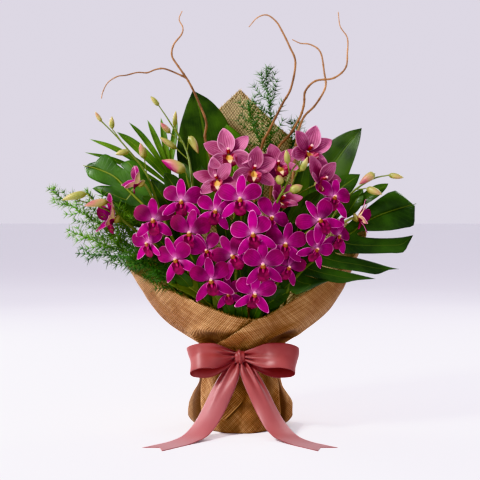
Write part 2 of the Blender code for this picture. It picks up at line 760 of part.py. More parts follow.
def make_monstera(name, facts):
    """A monstera leaf: a strip along its midrib, and a lobe grown from each edge of the strip.

    A lobe is (its length, the degrees it leans to the tip, how far it falls back).
    """
    line = points(facts["spine"])
    face = Vector(facts["face"]).normalized()
    last = len(line) - 1

    def place(u, k):
        share = 0 if k in (0, last) else MONSTERA_STRIP
        reach = facts["right" if u > 0 else "left"][min(k, last - 1)][0]
        return line[k] + tangent_at(line, k).cross(face).normalized() * u * share * reach * MM

    shape, corners = grid_surface(2, last, place)
    for sign, lobes in ((-1, facts["left"]), (1, facts["right"])):
        rim = corners[sign + 1::3]
        for k, (reach, lean, fall) in enumerate(lobes):
            along = (line[k + 1] - line[k]).normalized()
            side = along.cross(face).normalized() * sign
            lean = math.radians(lean)
            way = (side * math.cos(lean) + along * math.sin(lean)) * reach * MM
            edge = shape.edges.get((rim[k], rim[k + 1]))
            base = (rim[k].co + rim[k + 1].co) / 2
            half = (rim[k + 1].co - rim[k].co) / 2
            for share, narrow in LOBE_STATIONS:
                middle = (edge.verts[0].co + edge.verts[1].co) / 2
                centre = base + way * share * (1 - MONSTERA_STRIP) - face * fall * share**2 * MM

                def move(corner):
                    return centre + half * (narrow if (corner - middle).dot(half) > 0 else -narrow)

                edge = extruded(shape, edge, move)
    leaf = thickened("blade", shape, BLADE)
    stalk = stem_line(facts["slot"], [*facts["stalk"], *facts["spine"][:3]])
    stem = tube("stalk", stalk, [(0, 2.4), (0.8, 2), (1, 1.2)])
    return fuse(name, [leaf, stem], "leaf_green")


MONSTERAS = {
    "monstera_leaf_right": dict(
        slot=(3, 0), stalk=[(72, -36, 176), (90, -70, 216)],
        spine=[(100, -86, 236), (118, -90, 250), (138, -80, 270), (158, -62, 294),
               (178, -46, 322), (202, -38, 352), (230, -34, 374)],
        face=(0.15, -1, 0.35),
        left=[(12, 30, 2), (14, 30, 2), (14, 30, 4), (16, 34, 4), (16, 40, 4), (10, 50, 2)],
        right=[(60, 20, 0), (78, 30, 0), (90, 34, 0), (88, 33, 0), (62, 22, 0), (26, 30, 0)],
    ),
    "monstera_leaf_left": dict(
        slot=(-3, 1), stalk=[(-88, -8, 210), (-118, -18, 270)],
        spine=[(-132, -24, 322), (-152, -24, 344), (-174, -22, 364), (-198, -20, 385),
               (-219, -20, 396), (-240, -22, 401)],
        face=(-0.2, -1, 0.4),
        left=[(36, 30, 2), (48, 48, 2), (46, 55, 2), (34, 50, 2), (12, 50, 2)],
        right=[(38, 40, 2), (48, 45, 2), (46, 48, 2), (38, 50, 2), (12, 50, 2)],
    ),
}

PALM = dict(
    slot=(-2, 3), stalk=[(-52, 44, 220), (-96, 50, 320)],
    rachis=[(-108, 50, 352), (-122, 46, 390), (-138, 42, 420)],
    tips=[(-250, 20, 424), (-238, 30, 448), (-200, 34, 462), (-184, 46, 480), (-152, 54, 484),
          (-130, 60, 486), (-106, 64, 488)],
)
LEAFLET = [(0, 0), (0.33, 6), (0.67, 6.5), (1, 0)]
LEAFLET_ARCH = 5


def make_palm():
    """A palm frond: narrow leaflets fanned from the upper part of its rachis."""
    rachis = smooth_line(points(PALM["rachis"]), 3)
    stalk = stem_line(PALM["slot"], PALM["stalk"] + PALM["rachis"])
    pieces = [tube("rachis", stalk, [(0, 2.2), (0.7, 2), (1, 1.4)])]
    tips = points(PALM["tips"])
    for number, tip in enumerate(tips):
        root = rachis[round(number / (len(tips) - 1) * (len(rachis) - 1))]
        arch = point(0, 0, LEAFLET_ARCH)
        line = [root, root.lerp(tip, 0.33) + arch, root.lerp(tip, 0.67) + arch, tip]
        pieces.append(blade("leaflet", line, LEAFLET, (0.1, -1, 0.2), columns=1))
    return fuse("palm_frond", pieces, "palm_green")


# Asparagus fern. Whorls of four needles grow from the faces of a slim four-sided stem.

NEEDLE = 15
WHORL = 2.2
WHORL_PITCH = 10.5
WHORL_TWIST = math.radians(38)
FERN_RADIUS = 0.9


def fern_stem(name, line):
    """A stem with a whorl of needles at each pitch along it, out to its tip."""
    length = sum((b - a).length for a, b in zip(line, line[1:])) / MM
    whorls = max(2, round(length / WHORL_PITCH))
    shape = bmesh.new()
    stub = bmesh.ops.create_cone(shape, cap_ends=True, segments=4, radius1=FERN_RADIUS * MM,
                                 radius2=FERN_RADIUS * MM, depth=MM)
    heading = (line[1] - line[0]).normalized()
    turn = heading.to_track_quat("Z", "Y").to_matrix().to_4x4()
    bmesh.ops.transform(shape, matrix=Matrix.Translation(line[0]) @ turn, verts=stub["verts"])
    shape.normal_update()
    cap = max(shape.faces, key=lambda face: face.calc_center_median().dot(heading))
    for number in range(1, whorls + 1):
        share = number / whorls
        end = along_line(line, share)
        heading = (end - cap.calc_center_median()).normalized()
        start = end - heading * WHORL * MM
        radius = FERN_RADIUS * (1 - 0.4 * share)
        cap = grown(shape, cap, [(start, radius)])
        twist = Matrix.Rotation(WHORL_TWIST, 3, heading)
        bmesh.ops.rotate(shape, verts=cap.verts, cent=start, matrix=twist)
        cap.normal_update()
        cap = grown(shape, cap, [(end, radius)])
        cap.normal_update()
        sides = [f for edge in cap.edges for f in edge.link_faces if f is not cap]
        centre = (start + end) / 2
        lean = math.radians(62 - 34 * share**3)
        for tip in bmesh.ops.poke(shape, faces=sides)["verts"]:
            out = tip.co - centre
            out = (out - heading * out.dot(heading)).normalized()
            reach = NEEDLE * MM * seeded.uniform(0.8, 1.1)
            tip.co = centre + (out * math.sin(lean) + heading * math.cos(lean)) * reach
    mesh = bpy.data.meshes.new(name)
    shape.to_mesh(mesh)
    shape.free()
    return link(name, mesh)


def make_fern(name, facts):
    """A fern spray: a bare stalk, then a needled main stem and its needled side shoots."""
    main = stem_line(facts["slot"], facts["knots"])
    split = round(facts["bare"] * (len(main) - 1))
    pieces = [tube("stalk", main[:split + 1], [(0, 1.8), (1, 1.4)])]
    inside = main[split].lerp(main[split - 1], 0.1)
    pieces.append(fern_stem("stem", [inside, *main[split + 1:]]))
    for shoot in facts.get("shoots", []):
        line = smooth_line(points(shoot), 2)
        line[0] = main[nearest(main, line[0])]
        pieces.append(fern_stem("shoot", line))
    return fuse(name, pieces, "fern_green")


FERNS = {
    "fern_spray_1": dict(
        slot=(-2, 2), bare=0.5,
        knots=[(-92, 10, 200), (-148, -24, 262), (-196, -44, 300), (-246, -54, 334),
               (-290, -54, 366)],
        shoots=[[(-196, -44, 300), (-208, -40, 330), (-236, -36, 366)]],
    ),
    "fern_spray_2": dict(
        slot=(-3, 0), bare=0.5,
        knots=[(-94, -22, 200), (-146, -48, 256), (-198, -62, 278), (-260, -66, 304)],
    ),
    "fern_spray_3": dict(
        slot=(-2, -2), bare=0.62,
        knots=[(-74, -52, 204), (-116, -65, 248), (-160, -72, 261), (-244, -80, 268)],
    ),
    "fern_spray_4": dict(
        slot=(1, 2), bare=0.5,
        knots=[(24, 40, 260), (38, 52, 380), (50, 60, 460), (44, 62, 520), (42, 64, 562)],
        shoots=[[(42, 56, 420), (20, 58, 470), (12, 60, 510)]],
    ),
    "fern_spray_5": dict(
        slot=(0, 3), bare=0.7,
        knots=[(40, 66, 260), (60, 82, 360), (66, 84, 400), (92, 80, 452), (88, 80, 480)],
    ),
}


# Curly willow

TWIGS = {
    "willow_twig_left": dict(
        slot=(0, 0),
        main=[(-10, 10, 200), (-30, 16, 300), (-43, 20, 400), (-55, 30, 445), (-53, 34, 470),
              (-64, 36, 500), (-75, 36, 524), (-84, 36, 540), (-98, 34, 560), (-107, 30, 575),
              (-104, 28, 592), (-92, 30, 608), (-90, 34, 620), (-96, 36, 633), (-91, 36, 646)],
        fork=[(-84, 36, 540), (-95, 38, 546), (-119, 42, 556), (-134, 44, 555), (-147, 44, 550),
              (-162, 40, 550), (-180, 36, 545), (-193, 34, 543), (-208, 32, 533),
              (-216, 32, 518), (-218, 32, 508)],
    ),
    "willow_twig_middle": dict(
        slot=(0, 1),
        main=[(20, 8, 220), (22, 10, 330), (32, 16, 424), (48, 22, 462), (67, 26, 500),
              (80, 28, 524), (87, 28, 564), (78, 26, 588), (65, 24, 614), (56, 24, 628),
              (42, 26, 638), (27, 28, 634), (14, 30, 620)],
    ),
    "willow_twig_right": dict(
        slot=(1, 1),
        main=[(44, 14, 220), (46, 26, 330), (56, 34, 420), (79, 36, 452), (95, 36, 480),
              (101, 36, 500), (103, 36, 520), (119, 34, 536), (147, 32, 540), (166, 32, 556),
              (169, 34, 580), (169, 36, 604), (158, 38, 622), (155, 40, 645)],
    ),
    "willow_twig_pale": dict(
        slot=(2, 2),
        main=[(56, 34, 240), (80, 48, 350), (90, 52, 444), (96, 54, 468), (104, 54, 484),
              (120, 54, 500), (136, 54, 528), (134, 54, 552), (128, 54, 584), (112, 54, 596),
              (96, 54, 598), (83, 54, 604)],
    ),
}


def make_twig(name, facts):
    """A curly twig: a tapered stem that bends this way and that, and its fork if it has one."""
    main = stem_line(facts["slot"], facts["main"])
    pieces = [tube("twig", main, [(0, 2.8), (0.4, 2.2), (1, 0.8)])]
    if "fork" in facts:
        fork = smooth_line(points(facts["fork"]), 2)
        pieces.append(tube("fork", fork, [(0, 1.4), (1, 0.7)]))
    return fuse(name, pieces, "willow_bark")


for old in list(bpy.data.objects):
    bpy.data.objects.remove(old)
seeded = random.Random(7)
bouquet = bpy.data.collections.new("orchid_bouquet")
bpy.context.scene.collection.children.link(bouquet)
cutters = bpy.data.collections.new("stem_holes")
bpy.context.scene.collection.children.link(cutters)

for spray, facts in DENDROBIUM_SPRAYS.items():
    make_spray(spray, "dendrobium", DENDROBIUM, facts, 2.6)
for spray, facts in CYMBIDIUM_SPRAYS.items():
    make_spray(spray, "cymbidium", CYMBIDIUM, facts, 3)
for leaf, facts in LEAVES.items():
    make_leaf(leaf, facts)
for leaf, facts in MONSTERAS.items():
    make_monstera(leaf, facts)
make_palm()
for fern, facts in FERNS.items():
    make_fern(fern, facts)
for twig, facts in TWIGS.items():
    make_twig(twig, facts)
make_wrap()
make_ribbon()
make_vase()
make_water()
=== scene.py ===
# %% [markdown]
# # An orchid bouquet wrapped in burlap
# This lesson dresses a bouquet whose plain solids were made first: a wrap, a bow, leaves,
# orchid sprays, fern and curly twigs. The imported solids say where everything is, and each
# cell below replaces some of them with finer pieces in the same place.

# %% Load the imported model
import json
import math
import random

import bmesh
import bpy
from mathutils import Matrix, Vector, noise

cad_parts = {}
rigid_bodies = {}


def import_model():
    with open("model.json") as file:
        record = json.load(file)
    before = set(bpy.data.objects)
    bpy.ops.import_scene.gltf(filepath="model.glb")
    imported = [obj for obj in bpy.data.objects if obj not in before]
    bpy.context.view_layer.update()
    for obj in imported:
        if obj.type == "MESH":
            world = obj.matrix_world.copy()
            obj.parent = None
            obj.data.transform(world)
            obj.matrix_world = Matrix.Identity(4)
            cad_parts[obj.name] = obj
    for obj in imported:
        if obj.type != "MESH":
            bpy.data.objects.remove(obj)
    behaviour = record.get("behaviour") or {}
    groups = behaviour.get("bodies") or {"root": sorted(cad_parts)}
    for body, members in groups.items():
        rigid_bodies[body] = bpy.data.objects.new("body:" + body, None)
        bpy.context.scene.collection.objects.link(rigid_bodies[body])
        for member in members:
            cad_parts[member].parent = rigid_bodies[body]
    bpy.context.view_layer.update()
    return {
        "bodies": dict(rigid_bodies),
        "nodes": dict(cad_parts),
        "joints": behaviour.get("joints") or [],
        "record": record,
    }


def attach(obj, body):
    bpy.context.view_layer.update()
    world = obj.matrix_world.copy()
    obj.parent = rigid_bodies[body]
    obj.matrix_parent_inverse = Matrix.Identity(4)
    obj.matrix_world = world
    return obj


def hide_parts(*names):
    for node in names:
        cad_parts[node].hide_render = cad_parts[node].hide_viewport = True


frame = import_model()
MM = 0.001
print("solids in the frame:", len(frame["nodes"]))

# %% [markdown]
# ## Camera
# A product photographer stands well back and uses a long lens, so that a tall bouquet keeps
# its proportions. The camera looks almost level, from the height of the middle of the
# blooms. It is placed by numbers, because then every render has the same frame.

# %% Camera
LENS = 86.25
CAMERA_PLACE = Vector((0, -1.782, 0.325))
CAMERA_DIP = math.radians(1.25)

camera_data = bpy.data.cameras.new("camera")
camera_data.lens = LENS
camera = bpy.data.objects.new("camera", camera_data)
camera.location = CAMERA_PLACE
camera.rotation_euler = (math.pi / 2 - CAMERA_DIP, 0, 0)
bpy.context.collection.objects.link(camera)
bpy.context.scene.camera = camera
bpy.context.scene.view_settings.view_transform = "Khronos PBR Neutral"
bpy.context.scene.view_settings.look = "Medium High Contrast"
print("camera at", tuple(round(v, 3) for v in camera.location))

# %% [markdown]
# ## Light
# A photographer softens light with big panels, and an area light is such a panel. The
# brightest stands at the upper left in front, a weak one at the front right fills the
# shadows, and two behind draw the edges. An even sky gives the rest. A lit studio picture
# could do the same, but panels need no image and are easy to move.

# %% Light
SKY_COLOUR = (0.91, 0.87, 0.97, 1)
SKY_STRENGTH = 0.72
LIGHT_AIM = Vector((0, 0, 0.3))
PANELS = {
    "key light": ((-1.5, -1.3, 1.8), 0.5, 62),
    "fill light": ((1.2, -2.0, 0.7), 1.8, 5),
    "left rim light": ((-1.4, 1.0, 1.0), 0.8, 22),
    "right rim light": ((1.3, 1.3, 1.5), 0.8, 18),
}

for name, (place, size, watts) in PANELS.items():
    panel = bpy.data.lights.new(name, "AREA")
    panel.shape = "DISK"
    panel.size = size
    panel.energy = watts
    lamp = bpy.data.objects.new(name, panel)
    lamp.location = place
    lamp.rotation_euler = (LIGHT_AIM - lamp.location).to_track_quat("-Z", "Y").to_euler()
    bpy.context.collection.objects.link(lamp)

world = bpy.data.worlds.new("studio")
world.use_nodes = True
world.node_tree.nodes["Background"].inputs["Color"].default_value = SKY_COLOUR
world.node_tree.nodes["Background"].inputs["Strength"].default_value = SKY_STRENGTH
bpy.context.scene.world = world
print("panels:", ", ".join(PANELS))

# %% [markdown]
# ## Shader maths as plain expressions
# A finish is a small tree of shader nodes. Writing `1 - mask * 0.5` is easier to read than
# wiring two Math nodes by hand, so one class wraps a socket and overloads the operators.
# Every other node comes from one method, which takes its settings and then its inputs.


# %% Sockets and finishes
def shade(red, green, blue):
    """A colour as picked on a screen, 0 to 255, in the linear light that shaders use."""
    def linear(value):
        value /= 255
        return value / 12.92 if value <= 0.04045 else ((value + 0.055) / 1.055) ** 2.4
    return (linear(red), linear(green), linear(blue), 1)


class Link:
    """One output of a shader node, on which arithmetic adds Math nodes."""

    def __init__(self, finish, socket):
        self.finish = finish
        self.socket = socket

    def math(self, operation, *values):
        return self.finish.node("Math", {"operation": operation}, values)

    def __add__(self, other):
        return self.math("ADD", self, other)

    def __sub__(self, other):
        return self.math("SUBTRACT", self, other)

    def __mul__(self, other):
        return self.math("MULTIPLY", self, other)

    def __rsub__(self, other):
        return self.math("SUBTRACT", other, self)

    def __abs__(self):
        return self.math("ABSOLUTE", self)

    __radd__ = __add__
    __rmul__ = __mul__

    def sine(self):
        return self.math("SINE", self)

    def larger(self, other):
        return self.math("MAXIMUM", self, other)

    def fold(self, width):
        """Goes up and down between 0 and the width."""
        return self.math("PINGPONG", self, width)

    def ease(self, low, high):
        """0 below low, 1 above high, and smooth between, or the other way round."""
        return self.finish.node(
            "MapRange", {"interpolation_type": "SMOOTHSTEP"}, [self, low, high, 0, 1]
        )


class Finish:
    """A material under construction, with the nodes that feed its surface shader."""

    def __init__(self, name):
        self.material = bpy.data.materials.new(name)
        self.material.use_nodes = True
        self.tree = self.material.node_tree
        self.shader = self.tree.nodes["Principled BSDF"]

    def feed(self, socket, value):
        """Links the socket, or sets it where the value is a plain one."""
        if isinstance(value, Link):
            self.tree.links.new(value.socket, socket)
        else:
            socket.default_value = value

    def node(self, kind, settings=None, values=(), output=0):
        """Adds a node: its settings first, then values or links for its inputs."""
        made = self.tree.nodes.new("ShaderNode" + kind)
        for key, value in (settings or {}).items():
            if key == "stops":
                while len(made.color_ramp.elements) < len(value):
                    made.color_ramp.elements.new(1)
                for stop, (place, colour) in zip(made.color_ramp.elements, value):
                    stop.position = place
                    stop.color = colour
            else:
                setattr(made, key, value)
        pairs = values.items() if isinstance(values, dict) else enumerate(values)
        for key, value in pairs:
            self.feed(made.inputs[key], value)
        return Link(self, made.outputs[output])

    def mix(self, share, first, second):
        """Mixes two colours, from the first at share 0 to the second at share 1."""
        settings = {"data_type": "RGBA", "clamp_factor": True}
        return self.node("Mix", settings, {0: share, 6: first, 7: second}, 2)

    def noise(self, vector, scale, detail):
        return self.node("TexNoise", None, {"Vector": vector, "Scale": scale, "Detail": detail})

    def cloud(self, scale, detail=3.0, stretch=(1, 1, 1)):
        """Noise in the piece's own space, which turns and moves with it."""
        place = self.node("TexCoord", None, (), "Object")
        place = self.node("Mapping", None, {"Vector": place, "Scale": stretch})
        return self.noise(place, scale, detail)

    def streaks(self, u, v, layer=0):
        """Noise on the map, drawn out along the axis that is multiplied by less."""
        return self.noise(self.node("CombineXYZ", None, [u, v, layer]), 1, 2)

    def map_axes(self):
        """The two axes of the piece's UV map."""
        parts = self.node("SeparateXYZ", None, [self.node("UVMap", {"uv_map": "UVMap"})])
        return parts, Link(self, parts.socket.node.outputs[1])

    def painted(self, name):
        """A number that was painted on the corners of the mesh."""
        return self.node("Attribute", {"attribute_name": name}, (), "Fac")

    def bump(self, height, distance, strength=1.0):
        values = {"Height": height, "Distance": distance, "Strength": strength}
        return self.node("Bump", None, values, "Normal")

    def surface(self, values):
        """Feeds the surface shader and hands over the finished material."""
        for key, value in values.items():
            self.feed(self.shader.inputs[key], value)
        return self.material


print("colour check:", tuple(round(v, 3) for v in shade(128, 128, 128)[:3]))

# %% [markdown]
# ## Floor
# The bouquet stands on plain pale paper. One big grid is enough for it, and it is the
# simplest finish: one colour, and a long gentle noise in its roughness.

# %% Floor
FLOOR_COLOUR = (0.92, 0.91, 0.93, 1)
paper = Finish("floor paper")
paper_noise = paper.cloud(3)
floor_finish = paper.surface({"Base Color": FLOOR_COLOUR, "Roughness": 0.6 + paper_noise * 0.2})
floor_shape = bmesh.new()
bmesh.ops.create_grid(floor_shape, x_segments=2, y_segments=2, size=40)
floor_mesh = bpy.data.meshes.new("floor")
floor_shape.to_mesh(floor_mesh)
floor_shape.free()
floor_mesh.materials.append(floor_finish)
floor = bpy.data.objects.new("floor", floor_mesh)
bpy.context.collection.objects.link(floor)
print("floor is", floor.dimensions.x, "m wide")

# %% [markdown]
# ## Lines, widths and grids
# Petals, leaves, stems and cloth are all made in one way: a flat grid is created and each
# of its corners is sent to a place that a rule gives. They could be sculpted by hand, but a
# rule is easy to read and to change. The rules read smooth lines through a few knots, in
# millimetres, and smooth widths through a few pairs.


# %% Widths
def bell(off, width):
    """1 where off is 0, and less and less as off grows past the width."""
    return math.exp(-((off / width) ** 2))


def between(value, low, high):
    """0 up to low, 1 from high on, and straight between."""
    return min(1, max(0, (value - low) / (high - low)))


def edgewards(u):
    """Moves even steps across a blade towards its two edges."""
    return math.sin(u * math.pi / 2)


def crowd(share):
    """Moves even steps towards both ends, where an outline bends most."""
    return 0.5 - 0.5 * math.cos(math.pi * share)


def eased(knots, value):
    """A smooth curve through (value, result) pairs that never overshoots them."""
    if value <= knots[0][0]:
        return knots[0][1]
    if value >= knots[-1][0]:
        return knots[-1][1]
    here = max(k for k in range(len(knots) - 1) if knots[k][0] <= value)

    def slope(k):
        return (knots[k + 1][1] - knots[k][1]) / (knots[k + 1][0] - knots[k][0])

    def lean(k):
        if k in (0, len(knots) - 1):
            return slope(min(k, len(knots) - 2))
        before, after = slope(k - 1), slope(k)
        return 0 if before * after <= 0 else 2 * before * after / (before + after)

    (low, first), (high, last) = knots[here], knots[here + 1]
    span = high - low
    t = (value - low) / span
    start, end = lean(here) * span, lean(here + 1) * span
    rise = last - first
    return first + t * (start + t * (3 * rise - 2 * start - end + t * (start + end - 2 * rise)))


def swell(share, near, far):
    """A width that grows from 0 to 1 and back to 0. Small powers give blunt ends."""
    full = near / (near + far)
    share = min(max(share, 0), 1)
    return (share / full) ** near * ((1 - share) / (1 - full)) ** far


print("a bud is", round(swell(0.1, 0.6, 0.5), 2), "of its full width near its foot")

# %% [markdown]
# A stem, a twig and the middle of a leaf are lines. A curve object could hold them, but a
# plain list of points is easier to walk along, and a Catmull-Rom curve runs through every
# knot that it is given.


# %% Lines
def point(x, y, z):
    """A place given in mm."""
    return Vector((x, y, z)) * MM


def points(knots):
    return [point(*knot) for knot in knots]


def length_of(line):
    return sum((b - a).length for a, b in zip(line, line[1:]))


def smooth_line(knots, steps):
    """Points along a Catmull-Rom curve through the knots, steps to each span."""
    ends = [2 * knots[0] - knots[1], *knots, 2 * knots[-1] - knots[-2]]
    line = []
    for a, b, c, d in zip(ends, ends[1:], ends[2:], ends[3:]):
        for step in range(steps):
            t = step / steps
            bend = (2 * a - 5 * b + 4 * c - d) * t**2 + (3 * b - a - 3 * c + d) * t**3
            line.append(0.5 * (2 * b + (c - a) * t + bend))
    return line + [knots[-1].copy()]


def along_line(line, share):
    """The place at a share of the line's points."""
    spot = min(max(share, 0), 0.9999) * (len(line) - 1)
    return line[int(spot)].lerp(line[int(spot) + 1], spot % 1)


def tangent_at(line, k):
    """The way the line runs at its point number k."""
    return (line[min(k + 1, len(line) - 1)] - line[max(k - 1, 0)]).normalized()


def nearest(line, place):
    """The number of the line's point that is nearest to a place."""
    return min(range(len(line)), key=lambda k: (line[k] - place).length_squared)


def evenly(line, step):
    """The same line with a point every step mm."""
    count = max(3, round(length_of(line) / MM / step))
    return [along_line(line, k / count) for k in range(count + 1)]


print("a line of 30 mm is", round(length_of(points([(0, 0, 0), (0, 0, 30)])), 3), "m long")

# %% [markdown]
# A grid is bent by moving its corners. A subdivided plane with modifiers could do it too,
# but here one rule, place(u, v), holds the whole form, and the map comes with the grid.


# %% Grids
def new_shape():
    """An empty bmesh with a UV map, and marks for the front of a blade and for a tint."""
    shape = bmesh.new()
    shape.loops.layers.uv.new("UVMap")
    for name in ("front", "tint", "number"):
        shape.verts.layers.float.new(name)
    return shape


def add_grid(shape, columns, rows, place, tint=0.0):
    """Adds a grid whose corners go where place(u, v) says: u -1 to 1 across, v 0 to 1 along."""
    made = bmesh.ops.create_grid(
        shape, x_segments=columns, y_segments=rows, size=1, calc_uvs=True
    )
    front, tints = shape.verts.layers.float["front"], shape.verts.layers.float["tint"]
    for corner in made["verts"]:
        corner[front] = 1
        corner[tints] = tint(corner.co.x, (corner.co.y + 1) / 2) if callable(tint) else tint
        corner.co = place(corner.co.x, (corner.co.y + 1) / 2)
    return made["verts"]


def measured_map(shape, corners, place):
    """Replaces the UV map of a grid's faces by place(u, v), in metres of cloth."""
    layer = shape.loops.layers.uv["UVMap"]
    for face in {face for corner in corners for face in corner.link_faces}:
        for loop in face.loops:
            u, v = loop[layer].uv
            loop[layer].uv = place(2 * u - 1, v)


trial = new_shape()
trial_corners = add_grid(trial, 3, 2, lambda u, v: point(u, v, 0))
print("a grid of 3 x 2 faces has", len(trial_corners), "corners")
trial.free()

# %% [markdown]
# A stem, a bud and a twig are round. A curve with a bevel would do, but a rolled-up grid
# keeps one way of making for all pieces, carries a map and a tint, and can close at its ends.


# %% Tubes
def add_tube(shape, line, radii, sides=8, tint=0.0):
    """A closed tube along a line: a grid rolled up. Its radius, in mm, is eased along it."""
    line = [line[0], *line, line[-1]]
    last = len(line) - 1
    arms = []
    arm = (line[2] - line[0]).orthogonal().normalized()
    for k in range(last + 1):
        along = tangent_at(line, k)
        arm = (arm - along * arm.dot(along)).normalized()
        arms.append((arm, along.cross(arm)))

    def place(u, v):
        k = round(v * last)
        share = (k - 1) / (last - 2)
        radius = 0 if k in (0, last) else eased(radii, share) * MM
        right, up = arms[k]
        return line[k] + (right * math.cos(math.pi * u) + up * math.sin(math.pi * u)) * radius

    corners = add_grid(shape, sides, last, place, tint)
    rings = {}
    # A set would hand over the faces in another order on each run, a dict keeps the order.
    for face in dict.fromkeys(face for corner in corners for face in corner.link_faces):
        mean = sum(loop[shape.loops.layers.uv["UVMap"]].uv.y for loop in face.loops) / 4
        rings.setdefault(int(mean * last), []).append(face)
    bmesh.ops.remove_doubles(shape, verts=corners, dist=1e-7)
    return rings


trial = new_shape()
trial_rings = add_tube(trial, points([(0, 0, 0), (0, 0, 5), (0, 0, 9)]), [(0, 1), (1, 1)])
print("a tube along 3 points has", len(trial_rings), "rings of faces")
trial.free()

# %% [markdown]
# A petal or a cloth has two sides. Solidify gives each open surface its second wall, and the
# mark on that wall lets a finish colour the back of a petal or the inside of the wrap.


# %% Walls and pieces
def thicken(shape, thickness):
    """Gives every open surface a wall behind it, and marks that wall as not the front."""
    bmesh.ops.remove_doubles(shape, verts=shape.verts, dist=1e-6)
    shape.normal_update()
    front, number = (shape.verts.layers.float[name] for name in ("front", "number"))
    behind = [corner.co - corner.normal * thickness * MM for corner in shape.verts]
    for k, corner in enumerate(shape.verts):
        corner[number] = k
    made = bmesh.ops.solidify(shape, geom=shape.faces[:], thickness=thickness * MM)
    for part in made["geom"]:
        if isinstance(part, bmesh.types.BMVert):
            part[front] = 0
            part.co = behind[round(part[number])]


def triangles(piece):
    """How many triangles a piece has."""
    return sum(len(polygon.vertices) - 2 for polygon in piece.data.polygons)


def make_piece(name, shape, finish, slot, *nodes):
    """Turns a bmesh into a smooth object that rides on the part and stands for its nodes."""
    bmesh.ops.recalc_face_normals(shape, faces=shape.faces)
    mesh = bpy.data.meshes.new(name)
    shape.to_mesh(mesh)
    shape.free()
    mesh.shade_smooth()
    mesh.materials.append(finish)
    piece = bpy.data.objects.new(name, mesh)
    bpy.context.collection.objects.link(piece)
    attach(piece, "root")
    if nodes:
        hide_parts(*nodes)
    print(f"{name}: {triangles(piece)} triangles")
    return piece


SEED = 11
seeded = random.Random(SEED)
print("chance is drawn from seed", SEED)

# %% [markdown]
# ## Stems in the vase
# Every stem stands in its own slot of a honeycomb, goes straight up to the tied neck and
# spreads from there. The stems could be laid in by hand, but the same rule placed the plain
# solids, so the new stems run inside them and none of them cross in the vase.

# %% Stem lines
SLOT_PITCH = 13
SLOT_ROW = SLOT_PITCH * math.sqrt(3) / 2
STEM_FOOT = 14
NECK = 122
STEM_STEPS = 4


def stem_line(slot, knots, steps=STEM_STEPS):
    """A line from a slot of the vase straight up to the neck, then through the knots."""
    column, row = slot
    foot = point((column + 0.5 * (row % 2)) * SLOT_PITCH, row * SLOT_ROW, 0)
    start = [foot + point(0, 0, STEM_FOOT), foot + point(0, 0, NECK / 2)]
    return start + smooth_line([foot + point(0, 0, NECK), *points(knots)], steps)


print("slots are", SLOT_PITCH, "mm apart")

# %% [markdown]
# ## Burlap
# Burlap is a plain weave of coarse jute: each thread goes over one and under the next, and
# the corners between threads stay open and dark. A photo of cloth would be quicker, but two
# sine waves need no image: they give the threads, and their product says which of the two
# lies on top. The map is in metres of cloth, so the weave keeps its pitch on every fold, and
# a slanting seam in front of the foot simply follows one thread.

# %% Burlap finish
WEAVE = 2.3
SLUBS = 165
SEAM_THREAD = 0.0607
SEAM_MIDDLE = 0.0484
SEAM_HALF = 0.02
SEAM_LIP = 0.002

burlap = Finish("burlap")
cloth_u, cloth_v = burlap.map_axes()
painted_shade = burlap.painted("tint")
inner_side = burlap.painted("front")
wander = burlap.cloud(60, 2) * 0.5
threads_u = cloth_u * (math.pi * 1000 / WEAVE) + wander
threads_v = cloth_v * (math.pi * 1000 / WEAVE) + wander
warp = threads_u.sine()
weft = threads_v.sine()
over = warp * weft
weave = (warp * warp * (0.62 + over * 0.38)).larger(weft * weft * (0.62 - over * 0.38))
warp_tone = burlap.streaks(cloth_u * 400, cloth_v * 12)
weft_tone = burlap.streaks(cloth_u * 12, cloth_v * 400, 4)
soil = burlap.cloud(16, 5)
tone = (warp_tone * 0.5 + weft_tone * 0.5).ease(0.25, 0.75)
jute = burlap.mix(tone, shade(178, 124, 76), shade(226, 182, 130))
jute = burlap.mix(soil.ease(0.42, 0.62) * 0.6, jute, shade(138, 80, 32))
# painted light: the inner side of the wrap is made paler, as light falls on it
jute = burlap.mix(inner_side * 0.95, jute, shade(255, 232, 180))
# painted shade: the tint darkens the jute in folds, on the shaded flap, on the left ear and under
# the bow, and fills its holes
jute = burlap.mix(painted_shade * 0.9, jute, shade(62, 34, 15))
holes = (weave + tone * 0.14).ease(0.2, 0.66).larger(painted_shade * 0.8)
cloth = burlap.mix(holes, shade(46, 26, 12), jute)
slub_u = (cloth_u * SLUBS + wander * 0.3).fold(0.5).ease(0.16, 0.05) * warp_tone.ease(0.3, 0.5)
slub_v = (cloth_v * SLUBS + wander * 0.3).fold(0.5).ease(0.16, 0.05) * weft_tone.ease(0.3, 0.5)
slubs = slub_u.larger(slub_v) * (0.14 + inner_side * 0.66)
cloth = burlap.mix(slubs, cloth, shade(78, 46, 20))
seam_run = abs(cloth_v + SEAM_MIDDLE).ease(SEAM_HALF, SEAM_HALF * 0.7) * (1 - inner_side)
seam_line = abs(cloth_u - SEAM_THREAD).ease(0.0014, 0.0005) * seam_run
# painted highlight: a pale line beside the seam stands for light on its lip
seam_lip_highlight = abs(cloth_u - SEAM_THREAD - SEAM_LIP).ease(0.001, 0.0004) * seam_run
cloth = burlap.mix(seam_lip_highlight * 0.5, cloth, shade(232, 184, 124))
cloth = burlap.mix(seam_line * 0.85, cloth, shade(52, 28, 10))
burlap_finish = burlap.surface({
    "Base Color": cloth,
    "Roughness": 0.94 - weave * 0.12,
    "Normal": burlap.bump(weave * (1 - painted_shade * 0.7) + soil * 0.5, 0.0012, 0.9),
    "Sheen Weight": 0.03,
})
print("burlap has a thread every", WEAVE, "mm")

# %% [markdown]
# ## The wrap
# The sheet is gathered around the vase, tied at the neck and flares out above it. Its right
# flap laps over the left one in front, and its corner stands up as a peak at the back. A
# cloth simulation could gather it, but its folds would fall anywhere. Rules put each fold
# where it belongs: the reach of the cloth at each height, and the height of its rim.

